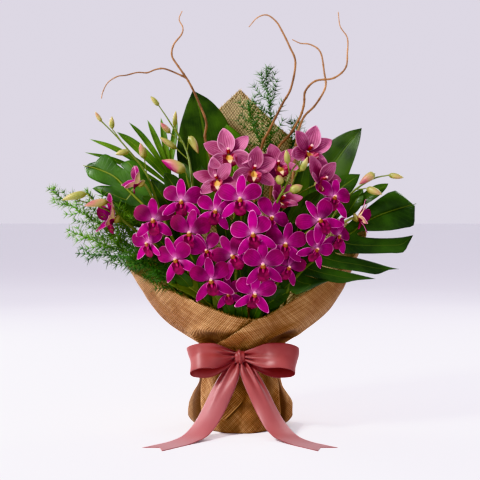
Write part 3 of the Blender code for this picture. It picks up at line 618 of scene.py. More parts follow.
# %% Wrap measures
SIDE_REACH = [(110, 51), (120, 52), (127, 62), (138, 79), (156, 104), (180, 128), (218, 153),
              (250, 172), (295, 190), (340, 198), (530, 200)]
FRONT_REACH = [(110, 51), (120, 52), (138, 67), (156, 84), (175, 96), (200, 104), (260, 112)]
BACK_REACH = [(110, 51), (120, 52), (138, 62), (180, 76), (250, 94), (350, 106), (530, 114)]
OVERLAP_LIFT = [(110, 2.6), (120, 3.6), (132, 8), (300, 8)]
RIM_LEFT = [(-30, 166), (0, 174), (20, 190), (50, 220), (75, 240), (90, 251), (108, 262),
            (125, 284), (140, 318), (150, 344), (154, 400), (157, 453), (163, 475), (180, 532)]
RIM_RIGHT = [(180, 532), (197, 473), (206, 444), (210, 390), (216, 350), (230, 322), (250, 306),
             (270, 296), (310, 229), (352, 170), (390, 156)]
HIDDEN_EDGE = -30
BACK_TURN = 180
FREE_EDGE = [(108, 392), (126, 389), (134, 383), (142, 372), (155, 361), (169, 352)]
COLLAR_FOOT = 108
MIDDLE_HEIGHT = 200
CLOTH = 1.4


def rim_height(turn):
    """How high the cloth's edge stands at a turn. Its corner at the back is sharp."""
    return eased(RIM_LEFT if turn < BACK_TURN else RIM_RIGHT, turn)


def collar_place(u, v):
    """The turn, in degrees, and height of a place on the sheet, and its share of the way round."""
    share = (u + 1) / 2
    z = MIDDLE_HEIGHT
    for _ in range(4):
        if share <= 0.5:
            turn = HIDDEN_EDGE + (BACK_TURN - HIDDEN_EDGE) * share * 2
        else:
            turn = BACK_TURN + (eased(FREE_EDGE, z) - BACK_TURN) * (share * 2 - 1)
        z = COLLAR_FOOT + (rim_height(turn) - COLLAR_FOOT) * v
    return turn, z, share


print("the peak stands at", rim_height(BACK_TURN), "mm")

# %% [markdown]
# Above the bow the cloth is pinched. On each side a curved fold hoods a deep dark tuck,
# the tie draws small dents in below it, and round the neck run many small gathers that
# fade out as the cloth widens.

# %% Hoods and folds
LEFT_HOOD = [(-8, 149), (6, 150), (20, 151.5), (36, 147.5), (48, 140), (58, 126)]
LEFT_HOOD_DEPTH = [(-14, 6), (23, 7), (25.5, 15), (46, 14), (58, 0)]
RIGHT_HOOD = [(294, 137), (303, 147), (317, 151.5), (328, 141), (334, 126), (340, 108)]
RIGHT_HOOD_DEPTH = [(286, 0), (298, 12), (330, 15), (338, 12), (342, 0)]
HOOD_SHARP = 2.3
HOOD_BULGE = 6
HOOD_DRAW = 1.25
FULL_DEPTH = 15
GATHER_DEPTH = 1.7
GATHER_FADE = [(108, 1), (126, 1), (150, 0.5), (190, 0.2), (260, 0.05)]
BACK_TUCKS = [(268, 14, 128, 16, 7), (95, 14, 128, 16, 7)]
KNOT_DENTS = [(-5, 4.5, 137, 6, 5), (6, 5, 128, 7, 5)]
ROLL_LIFT = 5
ROLL_WIDE = 8


def hood(turn, z, curve, depths):
    """The cloth draws in under a curved fold and bulges just above it."""
    below = (eased(curve, turn) - z) / HOOD_SHARP
    depth = eased(depths, turn)
    bulge = HOOD_BULGE * math.exp(-((below + 2.6) ** 2) / 8) * depth / FULL_DEPTH
    inside = 0.5 + 0.5 * math.tanh(below)
    return bulge - HOOD_DRAW * depth * inside * between(z, COLLAR_FOOT, COLLAR_FOOT + 24)


def dents(turn, z, places):
    """The sum of some round dents: each has a turn, a spread, a height, a reach and a depth."""
    total = 0
    for place, spread, level, tall, deep in places:
        off = (turn - place + 180) % 360 - 180
        total += deep * bell(off, spread) * bell(z - level, tall)
    return total


def cloth_noise(angle, z, fine, tall):
    """Noise that runs round the cloth without a seam."""
    return noise.noise(Vector((math.cos(angle) * fine, math.sin(angle) * fine, z / tall)))


def folds(turn, z, on_top):
    """How far the gathered cloth stands in or out at a turn, in degrees, and a height."""
    angle = math.radians(turn)
    wave = math.sin(13 * angle + 2 * math.sin(2 * angle)) + 0.5 * math.sin(29 * angle)
    depth = GATHER_DEPTH * wave * eased(GATHER_FADE, z) - dents(turn, z, BACK_TUCKS)
    if on_top:
        depth += hood(turn, z, RIGHT_HOOD, RIGHT_HOOD_DEPTH) - dents(turn, z, KNOT_DENTS)
    else:
        depth += hood(turn, z, LEFT_HOOD, LEFT_HOOD_DEPTH)
    loose = 6 * cloth_noise(angle, z, 1.6, 70) + 1.8 * cloth_noise(angle, z, 5, 26)
    return depth + loose * between(z, 130, 180)


def around(angle, wide, deep, z):
    """A place on an oval round the bouquet. Angle 0 is the front, and it grows to the left."""
    return point(-wide * math.sin(angle), -deep * math.cos(angle), z)


def collar_point(turn, z, share):
    """Where a place on the sheet stands, with the free flap lifted over the hidden one."""
    angle = math.radians(turn)
    lift = share * eased(OVERLAP_LIFT, z) + folds(turn, z, turn > BACK_TURN)
    if share > 0.5:
        lift += ROLL_LIFT * bell(eased(FREE_EDGE, z) - turn - ROLL_WIDE, ROLL_WIDE)
    deep = eased(FRONT_REACH if math.cos(angle) > 0 else BACK_REACH, z)
    return around(angle, eased(SIDE_REACH, z) + lift, deep + lift, z)


print("deepest tuck:", round(min(folds(turn, 126, False) for turn in range(0, 60)), 1), "mm")

# %% [markdown]
# The foot of the wrap is one more grid, closed at its middle. Two ears of folded cloth stand
# out at its sides, a crease runs beside each, and between them the front is a flat panel
# that reaches a little forward at the floor.

# %% Foot of the wrap
FOOT_PROFILE = [(0, (0.5, 0)), (0.12, (30, 0)), (0.24, (57, 0)), (0.30, (63, 2)),
                (0.36, (66, 11)), (0.44, (66, 24)), (0.54, (65, 40)), (0.66, (63, 60)),
                (0.78, (60, 78)), (0.9, (54, 100)), (1, (51.5, 116))]
SOLE_RADIUS = 50
EAR_REACH = [(0, 2), (6, 8), (16, 14), (32, 14), (46, 9), (60, 2), (68, 0)]
EAR_SPREAD = 15
EAR_CREASE = 23
EAR_LEVEL = 30
EAR_SLANT = 0.08
EAR_FADE = [(0, 0), (8, 1), (56, 1), (84, 0.3), (96, 0)]
CREASE_DEEP = 17
CREASE_WIDE = 3.4
CORNER_BULGE = 3.5
CORNER_OFF = 9
CORNER_WIDE = 5
PANEL_FLAT = 2
PANEL_WIDE = 20
PANEL_TOE = 0.3
TOE_FADE = [(0, 1), (20, 0.85), (60, 0.3), (90, 0)]
PLEAT_FADE = [(0, 0), (8, 0.25), (50, 0.6), (80, 1.0), (116, 0.8)]
SEAM_HEIGHT = 45
SEAM_SLANT = 1.17
SEAM_STEP = 4
SEAM_TURN = 8


def foot_profile(v):
    """The foot's radius and height, from its middle on the floor to its top at the neck."""
    return [eased([(share, place[k]) for share, place in FOOT_PROFILE], v) for k in (0, 1)]


def past_crease(turn, z):
    """How far a place lies from the crease beside its ear, in degrees, towards the panel."""
    return abs(abs(turn) - 90) - EAR_CREASE + (z - EAR_LEVEL) * EAR_SLANT


def foot_point(u, v):
    """The foot is round, but for its ears, creases, panel, seam and soft pleats."""
    turn = 180 * u
    angle = math.radians(turn)
    radius, z = foot_profile(v)
    if radius > SOLE_RADIUS:
        front = 1 if math.cos(angle) > 0 else 0.5
        off = past_crease(turn, z)
        form = CORNER_BULGE * bell(off - CORNER_OFF, CORNER_WIDE)
        form -= CREASE_DEEP * bell(off, CREASE_WIDE) + PANEL_FLAT * bell(turn, PANEL_WIDE)
        step = math.tanh((z - SEAM_HEIGHT + turn * SEAM_SLANT) / 3)
        form = form * front + SEAM_STEP * step * bell(turn - SEAM_TURN, 14)
        wave = math.sin(11 * angle + 1.5 * math.sin(3 * angle)) + 0.6 * math.sin(23 * angle)
        radius += eased(EAR_REACH, z) * bell(abs(turn) - 90, EAR_SPREAD) + form * eased(EAR_FADE, z)
        radius += 0.9 * wave * eased(PLEAT_FADE, z) + 2.2 * cloth_noise(angle, z, 3, 22)
    toe = 1 + PANEL_TOE * max(0, math.cos(angle)) * eased(TOE_FADE, z)
    return around(angle, radius, radius * toe, max(z, CLOTH))


print("the foot is", round(2 * abs(foot_point(0.5, 0.4).x), 3), "m wide at its ears")

# %% [markdown]
# Cloth that lies deep in a fold sees little light, so shade is painted into it: a tint on the
# corners of the grid darkens the finish under the hoods, on the flap that is turned from the
# light, in the creases beside the ears, on the left ear and in the shadow of the bow. Blots over
# the front of the foot are partly mottled tone and partly painted shade, and the slanting seam
# of the foot is drawn as a dark line.

# %% Shades in the folds
FLAP_SHADE = [(230, 0), (270, 0.42), (338, 0.42), (358, 0)]
EAR_SHADE = 0.7
BOW_SHADE = 0.5


def collar_shade(u, v):
    """Painted shade: 1 deep under a hood, 0 on the open cloth, and some on the flap turned from the
    light.
    """
    turn, z, _ = collar_place(u, v)
    on_left = turn < BACK_TURN
    below = eased(LEFT_HOOD if on_left else RIGHT_HOOD, turn) - z
    depth = eased(LEFT_HOOD_DEPTH if on_left else RIGHT_HOOD_DEPTH, turn)
    fade = 0.35 + 0.65 * math.exp(-max(0, below) / 14)
    deep = (0.5 + 0.5 * math.tanh((below + 2) / 2.6)) * fade * min(1, depth / 12)
    return min(1, 0.85 * deep + eased(FLAP_SHADE, turn))


def foot_shade(u, v):
    """Painted shade in the ear creases, on the left ear, under the bow and in mottled blots; the
    dark seam.
    """
    turn = 180 * u
    angle = math.radians(turn)
    z = foot_profile(v)[1]
    crease = bell(past_crease(turn, z) + 6, 5) + EAR_SHADE * bell(turn - 86, EAR_SPREAD)
    seam = bell(z - 42 + turn * SEAM_SLANT, 2.4) * bell(turn - SEAM_TURN, 12)
    under = BOW_SHADE * between(z, 80, 100) * max(0, math.cos(angle))
    blot = max(0, 0.4 + 0.7 * cloth_noise(angle, z, 5, 16)) * bell(((turn + 6) / 52) ** 2, 1)
    return min(1, crease * eased(EAR_FADE, z) + seam + under + blot)


print("shade under the left hood:", round(collar_shade(-0.7, 0.1), 2))

# %% [markdown]
# Both grids get a map in metres of cloth. The flare is close to a cone, so it is rolled out
# flat, turned by 45 degrees because a corner of the square stands up at the back. The two
# grids overlap under the ribbon, and both are thickened together.

# %% Wrap
CONE_SHARE = 0.62
CONE_RADIUS = 54
CONE_SLOPE = 0.85
FOOT_MAP = (0.14, 0.11)


def unrolled(turn, z):
    """Where a point of the flared cloth lies once its cone is rolled out flat, in metres."""
    slant = (CONE_RADIUS + (z - NECK) * CONE_SLOPE) / CONE_SHARE * MM
    angle = math.radians(turn - BACK_TURN) * CONE_SHARE + math.radians(45)
    return slant * math.cos(angle), slant * math.sin(angle)


def foot_unrolled(u, v):
    """The foot's cloth lies aslant, as it belongs to the same square."""
    across, up = FOOT_MAP[0] * u, FOOT_MAP[1] * v
    return across + up, across - up


wrap_shape = new_shape()
collar_corners = add_grid(
    wrap_shape, 320, 76, lambda u, v: collar_point(*collar_place(u, v)), collar_shade
)
measured_map(wrap_shape, collar_corners, lambda u, v: unrolled(*collar_place(u, v)[:2]))
foot_corners = add_grid(wrap_shape, 280, 60, foot_point, foot_shade)
measured_map(wrap_shape, foot_corners, foot_unrolled)
thicken(wrap_shape, CLOTH)
wrap = make_piece("burlap_sheet", wrap_shape, burlap_finish, "burlap", "burlap_wrap")

# %% [markdown]
# Cut burlap frays. Hair would be the usual way, but few ends are needed and they have to be
# mesh, so short tubes of jute are set all along the raw edge, each bent its own way.

# %% Frayed edge
fray = Finish("frayed jute")
fray_cloud = fray.cloud(200, 2)
fray_finish = fray.surface({
    "Base Color": fray.mix(fray.painted("tint"), shade(96, 58, 26), shade(222, 184, 132)),
    "Roughness": 0.8 + fray_cloud * 0.15,
})
FRAY_ENDS = 620
FRAY_REACH = 3.6
FRAY_FOOT = 0.985
FRAY_RADII = [(0, 0.42), (1, 0.2)]

fray_shape = new_shape()
for number in range(FRAY_ENDS):
    u = 2 * (number + seeded.random()) / FRAY_ENDS - 1
    foot = collar_point(*collar_place(u, FRAY_FOOT))
    edge = collar_point(*collar_place(u, 1.0))
    aside = (collar_point(*collar_place(min(u + 0.01, 1), 1)) - edge).normalized()
    up = (edge - foot).normalized()
    stray = aside * seeded.uniform(-0.8, 0.8) + up * seeded.uniform(0.2, 1)
    end = edge + stray.normalized() * seeded.uniform(0.4, 1) * FRAY_REACH * MM
    bend = foot.lerp(end, 0.6) + Vector((seeded.uniform(-0.5, 0.5) for _ in range(3))) * MM
    add_tube(fray_shape, [foot, bend, end], FRAY_RADII, 4, seeded.random())
make_piece("burlap_fringe", fray_shape, fray_finish, "burlap", "burlap_wrap")

# %% [markdown]
# ## Satin
# Satin is a smooth ribbon whose threads run along it, so its light is soft and stretched.
# The threads are far too fine to draw one by one: long streaks in a low roughness and a
# little sheen stand in for them. A darker hem runs along both edges.

# %% Satin finish
RIBBON_MIDDLE = 0.019
HEM = (0.0172, 0.0184)

satin = Finish("dusty rose satin")
satin_u, satin_v = satin.map_axes()
streaks = satin.streaks(satin_u * 900, satin_v * 30)
blush = satin.cloud(22, 2)
rose = satin.mix(blush, shade(118, 50, 50), shade(148, 76, 74))
# painted light: the tint lightens the tails where they catch the light, the left one most
rose = satin.mix(satin.painted("tint") * 0.42, rose, shade(176, 114, 118))
hem = abs(satin_u - RIBBON_MIDDLE).ease(*HEM)
satin_finish = satin.surface({
    "Base Color": satin.mix(hem * 0.3, rose, shade(108, 46, 50)),
    "Roughness": 0.38 + streaks * 0.16,
    "Normal": satin.bump(streaks + hem * 1.5, 0.0001, 0.5),
    "Sheen Weight": 0.35,
    "Sheen Roughness": 0.4,
    "Anisotropic": 0.4,
})
print("the hem is", round((RIBBON_MIDDLE - HEM[0]) / MM, 1), "mm wide")

# %% [markdown]
# ## The bow
# A wide ribbon goes round the neck and is tied in a bow. A real one is a single strip, and
# one long grid could be bent through the knot, but five short grids hide their ends in it
# just as well and are easier to shape. All have pleats that gather at the knot.

# %% Ribbon
RIBBON = 0.7
RIBBON_WIDTH = 38
KNOT = (0, -69, 113)
PLEATS = 2.3
PLEAT_DEPTH = 4.2
PLEAT_REACH = 27


def pleat(u, fade, phase):
    """How far a pleat stands out. The phase makes the pleats uneven across the ribbon."""
    bent = u + 0.16 * math.sin(math.pi * u + phase)
    return PLEAT_DEPTH * fade * math.cos(PLEATS * math.pi * bent + phase)


def ribbon_map(shape, corners, long):
    """Maps a stretch of ribbon in metres, across its width and along its length."""
    measured_map(shape, corners, lambda u, v: ((u + 1) * RIBBON_WIDTH / 2 * MM, v * long))


print("the pleats stand out", PLEAT_DEPTH, "mm at the knot")

# %% [markdown]
# A loop is a line seen from above: from the knot outwards, round and back. Its grid stands
# on that line, leans forward as it leaves the knot, sags a little and narrows into the knot.

# %% Loops
LOOP_PATH = [(4, -68), (18, -76), (38, -89), (60, -93), (74, -88), (79, -79), (72, -71),
             (46, -68), (20, -67), (4, -66)]
LOOP_OUT = 79
LOOP_RISE = 3
LOOP_LEVEL = [(0, 0), (0.25, 2.5), (0.5, -2), (0.72, -7), (1, -2)]
LOOP_HALF = [(0, 5), (0.1, 11), (0.24, 19), (0.76, 19), (0.9, 12), (1, 5)]
LOOP_LEAN = math.radians(22)
LEAN_SOON = 1.6
LOOP_TILT = 0.035
LOOP_SAG = 1.2
LOOP_WAVE = 1.1
RIGHT_LONGER = 1.1


def add_loop(shape, side):
    """One loop of the bow. Side is -1 on the left and 1 on the right."""
    stretch = RIGHT_LONGER if side > 0 else 1
    line = smooth_line([Vector((side * x * stretch, y, 0)) for x, y in LOOP_PATH], 5)

    def place(u, v):
        k = round(v * (len(line) - 1))
        spot = line[k]
        out = abs(spot.x) / (LOOP_OUT * stretch)
        lean = LOOP_LEAN * min(1, out * LEAN_SOON)
        up = Vector((0, math.sin(lean), math.cos(lean)))
        fall = math.sin(lean) * (spot.y - LOOP_PATH[3][1])
        level = KNOT[2] + LOOP_RISE + eased(LOOP_LEVEL, v) - fall
        centre = Vector((spot.x * (1 - LOOP_TILT * (1 - u) * out), spot.y, level))
        square = tangent_at(line, k).cross(up).normalized()
        sag = LOOP_SAG * math.sin(math.pi * v) * (1 - u * u)
        sag += LOOP_WAVE * math.sin(7 * v + 3 * u + 2 * side)
        bend = pleat(u, bell(spot.x, PLEAT_REACH) + 0.02, side) + sag
        return (centre + up * u * eased(LOOP_HALF, v) + square * bend) * MM

    corners = add_grid(shape, 28, len(line) - 1, place)
    ribbon_map(shape, corners, length_of(line) * MM)


print("the right loop reaches", round(LOOP_OUT * RIGHT_LONGER), "mm aside")

# %% [markdown]
# The tails leave the knot pleated, curl a little on the way, turn flat where they meet the
# floor and end in a notch, as a cut ribbon does. The left one catches more light, which a
# tint along it gives.

# %% Tails
TAIL_PATH = [(-4, -66, 108), (-11, -75, 97), (-20, -84, 80), (-30, -92, 61), (-40, -101, 41),
             (-52, -114, 21), (-67, -131, 6.5), (-86, -153, 1.2), (-108, -180, 0.9),
             (-122, -197, 0.9)]
TAIL_HALF = [(0, 4.5), (0.05, 7.5), (0.12, 13), (0.25, 15.5), (0.5, 16.5), (0.68, 18.5), (1, 19)]
TAIL_FLAT = [(0.35, 0), (0.7, 1)]
TAIL_PLEATED = 0.26
TAIL_NOTCH = 15
TAIL_SHINE = {-1: 1, 1: 0.45}


def add_tail(shape, side):
    """One tail, from the knot to its notch on the floor."""
    line = smooth_line(points([(-side * x, y, z) for x, y, z in TAIL_PATH]), 4)
    last = len(line) - 1

    def place(u, v):
        k = round(v * last)
        along = tangent_at(line, k)
        flat = eased(TAIL_FLAT, v)
        face = Vector((0.3 * side, -1, 0.25)).lerp(Vector((0, 0, 1)), flat)
        across = along.cross(face).normalized()
        notch = TAIL_NOTCH * (1 - abs(u)) * max(0, v * 8 - 7) * MM
        curl = (3 * math.sin(5 * v + side) * u - 7 * u * u) * (1 - flat)
        rise = (pleat(u, bell(v, TAIL_PLEATED), 1.5 * side) + curl) * MM
        aside = across * u * eased(TAIL_HALF, v) * MM
        return line[k] + aside + across.cross(along) * rise - along * notch

    def shine(_, v):
        return TAIL_SHINE[side] * math.sin(math.pi * v * 0.8) ** 2

    corners = add_grid(shape, 20, last, place, shine)
    ribbon_map(shape, corners, length_of(line))


print("the tails end in notches", TAIL_NOTCH, "mm deep")

# %% [markdown]
# The band is hidden behind the loops and shows at the back. The knot is a ball pushed into
# pleats. It needs no second wall, so it is added after the ribbon is thickened.

# %% Band and knot
BAND_RADIUS = 58.4
BAND_RIPPLE = 0.35
BAND_FOOT = 100
BAND_HIGH = 17
KNOT_SIZE = (9.6, 9.0, 10.4)


def band_point(u, v):
    """The band runs round the neck, with soft ripples along it."""
    angle = math.pi * u
    ripple = BAND_RIPPLE * math.sin(3 * math.pi * v + 2 * math.sin(2 * angle))
    radius = BAND_RADIUS + ripple
    return around(angle, radius, radius, BAND_FOOT + BAND_HIGH * v)


def knot_point(x, y, z):
    """The knot has pleats down its front and a slight waist."""
    ridge = 1 + 0.10 * math.cos(8 * x + 1.5 * z) + 0.03 * math.cos(19 * x)
    shares = (x * (0.95 + 0.12 * z * z), y * ridge, z * ridge)
    return point(*(middle + share * size for middle, share, size in zip(KNOT, shares, KNOT_SIZE)))


bow_shape = new_shape()
for side in (-1, 1):
    add_loop(bow_shape, side)
    add_tail(bow_shape, side)
band_corners = add_grid(bow_shape, 64, 6, band_point)
measured_map(bow_shape, band_corners, lambda u, v: ((v + 0.5) * BAND_HIGH * MM, 0.18 * u))
thicken(bow_shape, RIBBON)
knot = bmesh.ops.create_uvsphere(bow_shape, u_segments=40, v_segments=20, radius=1, calc_uvs=True)
for corner in knot["verts"]:
    corner.co = knot_point(*corner.co)
measured_map(bow_shape, knot["verts"], lambda u, v: (u * 0.01 + RIBBON_MIDDLE, v * 0.05))
bow = make_piece("satin_ribbon", bow_shape, satin_finish, "ribbon_satin", "satin_ribbon_bow")

# %% [markdown]
# ## Petals
# An orchid bloom has three sepals, two petals and a lip. Each is one grid whose width swells
# and shrinks along it, so its map runs from the heart of the bloom to the tip, and across
# from edge to edge. The finish reads that map: a pale heart, a deep middle, fine veins along
# the petal and a thin pale rim. Painted pictures could do it, but the map needs none.


# %% Petal finishes
def petal_finish(name, heart, deep, light, outer, rim, back, vein_strength, reach):
    """A petal: pale at its heart, deep in the middle and thinly edged, with fine veins."""
    petal = Finish(name)
    u, v = petal.map_axes()
    across = abs(u * 2 - 1)
    cloud = petal.cloud(52, 3)
    spread = petal.painted("tint")
    body = petal.mix(cloud.ease(0.36, 0.64) * 0.4 + spread * 0.65, deep, light)
    body = petal.mix(v.ease(0.42, 0.86) * (1 - spread) * 0.7, body, outer)
    veins = ((u + cloud * 0.02) * 11).fold(0.5).ease(0.16, 0.02) * (1 - across * 0.6)
    body = petal.mix(veins * vein_strength, body, deep)
    beams = (u * 17).fold(0.5).ease(0.1, 0.4) * 0.65 + 0.35
    glow = (v + across * 0.08 + cloud * 0.14).ease(reach, 0.14)
    body = petal.mix(glow * beams * (0.5 + spread * 0.5), body, heart)
    edge = across.ease(0.66, 0.86).larger(v.ease(0.84, 0.95))
    body = petal.mix(edge * (0.1 + spread * 0.75), body, rim)
    behind = 1 - petal.painted("front")
    body = petal.mix(behind * (0.25 + v.ease(0.75, 0.2) * 0.75), body, back)
    return petal.surface({
        "Base Color": body,
        "Roughness": 0.5 + cloud * 0.15,
        "Normal": petal.bump(veins * -0.8 + cloud * 0.6, 0.0006, 0.8),
        "Specular IOR Level": 0.24,
        "Subsurface Weight": 0.1,
        "Subsurface Radius": (0.004, 0.001, 0.003),
        "Subsurface Scale": 1.0,
    })


dendrobium_petal = petal_finish(
    "dendrobium petal", shade(240, 172, 220), shade(76, 0, 42), shade(160, 2, 114),
    shade(118, 0, 60), shade(238, 160, 210), shade(240, 216, 160), 0.5, 0.52,
)
cymbidium_petal = petal_finish(
    "cymbidium petal", shade(136, 46, 78), shade(108, 32, 60), shade(208, 134, 168),
    shade(192, 114, 148), shade(226, 170, 196), shade(186, 116, 120), 0.9, 0.45,
)
print("petal finishes are ready")

# %% [markdown]
# The lip is the petal that insects land on, and the column stands over it. Both are more
# patterned than the rest, so each gets a finish of its own. Noise is added to the map before
# it is read, which makes the borders of the pattern ragged.

# %% Lip finishes
lip = Finish("dendrobium lip")
lip_u, lip_v = lip.map_axes()
lip_across = abs(lip_u * 2 - 1)
lip_cloud = lip.cloud(200, 3)
lip_body = lip.mix(lip_cloud.ease(0.3, 0.7), shade(84, 0, 38), shade(128, 0, 66))
lobe_edge = lip_across.ease(0.72, 0.97) * lip_v.ease(0.5, 0.3)
lip_body = lip.mix(lobe_edge * 0.6, lip_body, shade(206, 96, 160))
lip_body = lip.mix(lip_v.ease(0.96, 1.0) * 0.5, lip_body, shade(206, 90, 160))
lip_body = lip.mix(lip_v.ease(0.2, 0.02), lip_body, shade(200, 80, 140))
dendrobium_lip = lip.surface({
    "Base Color": lip_body,
    "Roughness": 0.5,
    "Normal": lip.bump(lip_cloud, 0.0004, 0.6),
    "Specular IOR Level": 0.3,
})

throat = Finish("cymbidium lip")
throat_u, throat_v = throat.map_axes()
throat_across = abs(throat_u * 2 - 1)
throat_cloud = throat.cloud(260, 3)
wall = throat.mix(throat_cloud.ease(0.4, 0.6), shade(176, 84, 112), shade(110, 16, 44))
gold = (throat_across + throat_cloud * 0.2).ease(0.3, 0.5)
throat_body = throat.mix(gold, shade(216, 172, 92), wall)
mouth = (throat_v + throat_cloud * 0.1).ease(0.5, 0.62)
lip_rim = (throat_across + throat_v * 0.6 + throat_cloud * 0.2).ease(0.56, 0.74)
blotch = throat.mix(lip_rim, shade(232, 206, 164), shade(104, 8, 36))
throat_body = throat.mix(mouth, throat_body, blotch)
cymbidium_lip = throat.surface({
    "Base Color": throat_body,
    "Roughness": 0.42,
    "Normal": throat.bump(throat_cloud, 0.0004, 0.6),
})

heart = Finish("orchid column")
heart_cloud = heart.cloud(300, 2)
heart_colour = heart.node("ValToRGB", {"stops": [
    (0.0, shade(232, 170, 206)), (0.25, shade(222, 190, 138)), (0.5, shade(150, 18, 86)),
    (0.75, shade(140, 44, 36)), (1.0, shade(134, 74, 22)),
]}, [heart.painted("tint") + heart_cloud * 0.1 - 0.05])
heart_finish = heart.surface({"Base Color": heart_colour, "Roughness": 0.35})
print("lip and column finishes are ready")

# %% [markdown]
# Stems, flower stalks and buds share one finish. Its tint goes from fresh green through
# cream to a purple blush, as a flower stalk does on its way to the bloom. Four separate
# finishes would show hard borders where this one changes smoothly.

# %% Stem finish
stem = Finish("orchid stem")
stem_tint = stem.painted("tint")
stem_cloud = stem.cloud(120, 3, (1, 1, 0.3))
stem_colour = stem.node("ValToRGB", {"stops": [
    (0.0, shade(80, 96, 28)), (0.35, shade(106, 116, 44)), (0.58, shade(156, 146, 86)),
    (0.8, shade(164, 112, 96)), (1.0, shade(142, 24, 92)),
]}, [stem_tint + stem_cloud * 0.2 - 0.1])
stem_finish = stem.surface({
    "Base Color": stem_colour,
    "Roughness": 0.45,
    "Normal": stem.bump(stem_cloud, 0.0003, 0.5),
    "Subsurface Weight": 0.08,
    "Subsurface Radius": (0.003, 0.003, 0.001),
    "Subsurface Scale": 1.0,
})
print("stem finish is ready")

# %% [markdown]
# ## Where the blooms face
# The blooms cover a dome that bulges towards the viewer. A bloom looks partly at the viewer
# and partly straight out of the dome, as blooms turn to the light. Each could be turned by
# hand, but the dome keeps neighbours at fitting angles, and only small turns are added.

# %% Bloom places
DOME_WIDE = 225
DOME_DEEP = 150
DOME_HIGH = 195
DOME_CENTRE = 262


def bloom_frame(x, z, lift, yaw, pitch, roll):
    """The place of a bloom, in mm: +Z looks out of its face and +Y is up."""
    inside = 1 - (x / DOME_WIDE) ** 2 - ((z - DOME_CENTRE) / DOME_HIGH) ** 2
    place = Vector((x, -DOME_DEEP * math.sqrt(max(inside, 0.04)), z))
    slope = Vector((
        x / DOME_WIDE**2, place.y / DOME_DEEP**2, (z - DOME_CENTRE) / DOME_HIGH**2
    )).normalized()
    yaw = math.radians(yaw) + 0.5 * math.atan2(slope.x, -slope.y)
    pitch = math.radians(pitch) + 0.4 * math.asin(slope.z)
    out = Vector((
        math.sin(yaw) * math.cos(pitch), -math.cos(yaw) * math.cos(pitch), math.sin(pitch)
    ))
    right = Vector((math.cos(yaw), math.sin(yaw), 0))
    turn = Matrix((right, out.cross(right), out)).transposed()
    turn = turn @ Matrix.Rotation(math.radians(roll), 3, "Z")
    return Matrix.Translation((place + out * lift) * MM) @ turn.to_4x4()


print("the dome stands out", DOME_DEEP, "mm in front")

# %% [markdown]
# ## Building a bloom
# A tepal is told by its direction, length and half width, the powers of its outline, how it
# rises and how it cups. The lip has side lobes that curl up around the column. One bloom
# could be copied many times, but here every tepal is built anew with small chances in its
# angle, size and twist, so that no two blooms are alike.

# %% Tepals and lips
DENDROBIUM = [
    (90, 32.5, 6.9, 0.62, 0.56, [(0, 1.5), (0.5, 3), (1, 0)], -0.10),
    (147, 31, 11.8, 0.86, 0.5, [(0, 2), (0.5, 4), (1, 1)], -0.07),
    (33, 31, 11.8, 0.86, 0.5, [(0, 2), (0.5, 4), (1, 1)], -0.07),
    (222, 34, 6.9, 0.72, 0.72, [(0, 1), (0.5, 3.5), (1, 1)], -0.14),
    (318, 34, 6.9, 0.72, 0.72, [(0, 1), (0.5, 3.5), (1, 1)], -0.14),
]
CYMBIDIUM = [
    (90, 34, 12.2, 0.66, 0.86, [(0, 1), (0.5, 4), (1, 14)], 0.4),
    (150, 35, 11.2, 0.66, 0.84, [(0, 1), (0.5, 5), (1, 12)], 0.36),
    (34, 35, 11.2, 0.66, 0.84, [(0, 1), (0.5, 5), (1, 12)], 0.36),
    (212, 33, 10.4, 0.64, 0.8, [(0, 1), (0.5, 4), (1, 11)], 0.34),
    (328, 33, 10.4, 0.64, 0.8, [(0, 1), (0.5, 4), (1, 11)], 0.34),
]
DENDROBIUM_LIP = dict(
    length=22, frill=0.5,
    half=[(0, 2.4), (0.22, 7.0), (0.4, 6.6), (0.6, 8.2), (0.8, 7.8), (0.93, 5), (1, 0.3)],
    rise=[(0, 0.5), (0.25, 2.5), (0.5, 5.5), (0.8, 6), (1, 3)],
    curl=[(0, 3), (0.22, 9), (0.42, 5), (0.62, 0.4), (0.8, -1.4), (1, -1)],
)
CYMBIDIUM_LIP = dict(
    length=21, frill=0.9,
    half=[(0, 3.8), (0.3, 9.8), (0.52, 9.4), (0.76, 10.2), (0.92, 7.4), (1, 0.5)],
    rise=[(0, 2), (0.35, 6), (0.62, 12), (0.85, 14), (1, 11)],
    curl=[(0, 5), (0.3, 12), (0.55, 8), (0.8, 0), (1, -2)],
)
TEPAL_START = 2
TEPAL_COLUMNS = 10
TEPAL_ROWS = 12
PETAL = 0.7


def add_tepal(shape, frame, size, facts, closing, shade_of_bloom):
    """One sepal or petal. Closing is the angle by which it swings forward, in degrees."""
    direction, length, half, near, far, rise, cup = facts
    turn = math.radians(direction + seeded.uniform(-7, 7))
    swing = math.radians(closing + seeded.uniform(-12, 14))
    length *= seeded.uniform(0.94, 1.04)
    half *= seeded.uniform(0.93, 1.05)
    phase = seeded.uniform(0, 6)
    twist = seeded.uniform(-0.26, 0.26)
    along = Vector((math.cos(turn), math.sin(turn), 0))
    side = Vector((along.y, -along.x, 0))
    ahead = along * math.cos(swing) + Vector((0, 0, math.sin(swing)))
    out = side.cross(ahead)

    def place(u, v):
        share = crowd(v)
        across = edgewards(u)
        width = half * max(swell(share, near, far), 0.16 * (1 - share))
        ripple = 0.6 * math.sin(8 * share + phase + 1.5 * u) * abs(across) * share
        height = eased(rise, share) + cup * across * across * width + ripple
        height += (twist * across + 0.04 * (1 - abs(across)) * (share > 0.1)) * width
        spot = along * TEPAL_START + ahead * length * share + side * across * width + out * height
        return frame @ (spot * size * MM)

    add_grid(shape, TEPAL_COLUMNS, TEPAL_ROWS, place, shade_of_bloom)


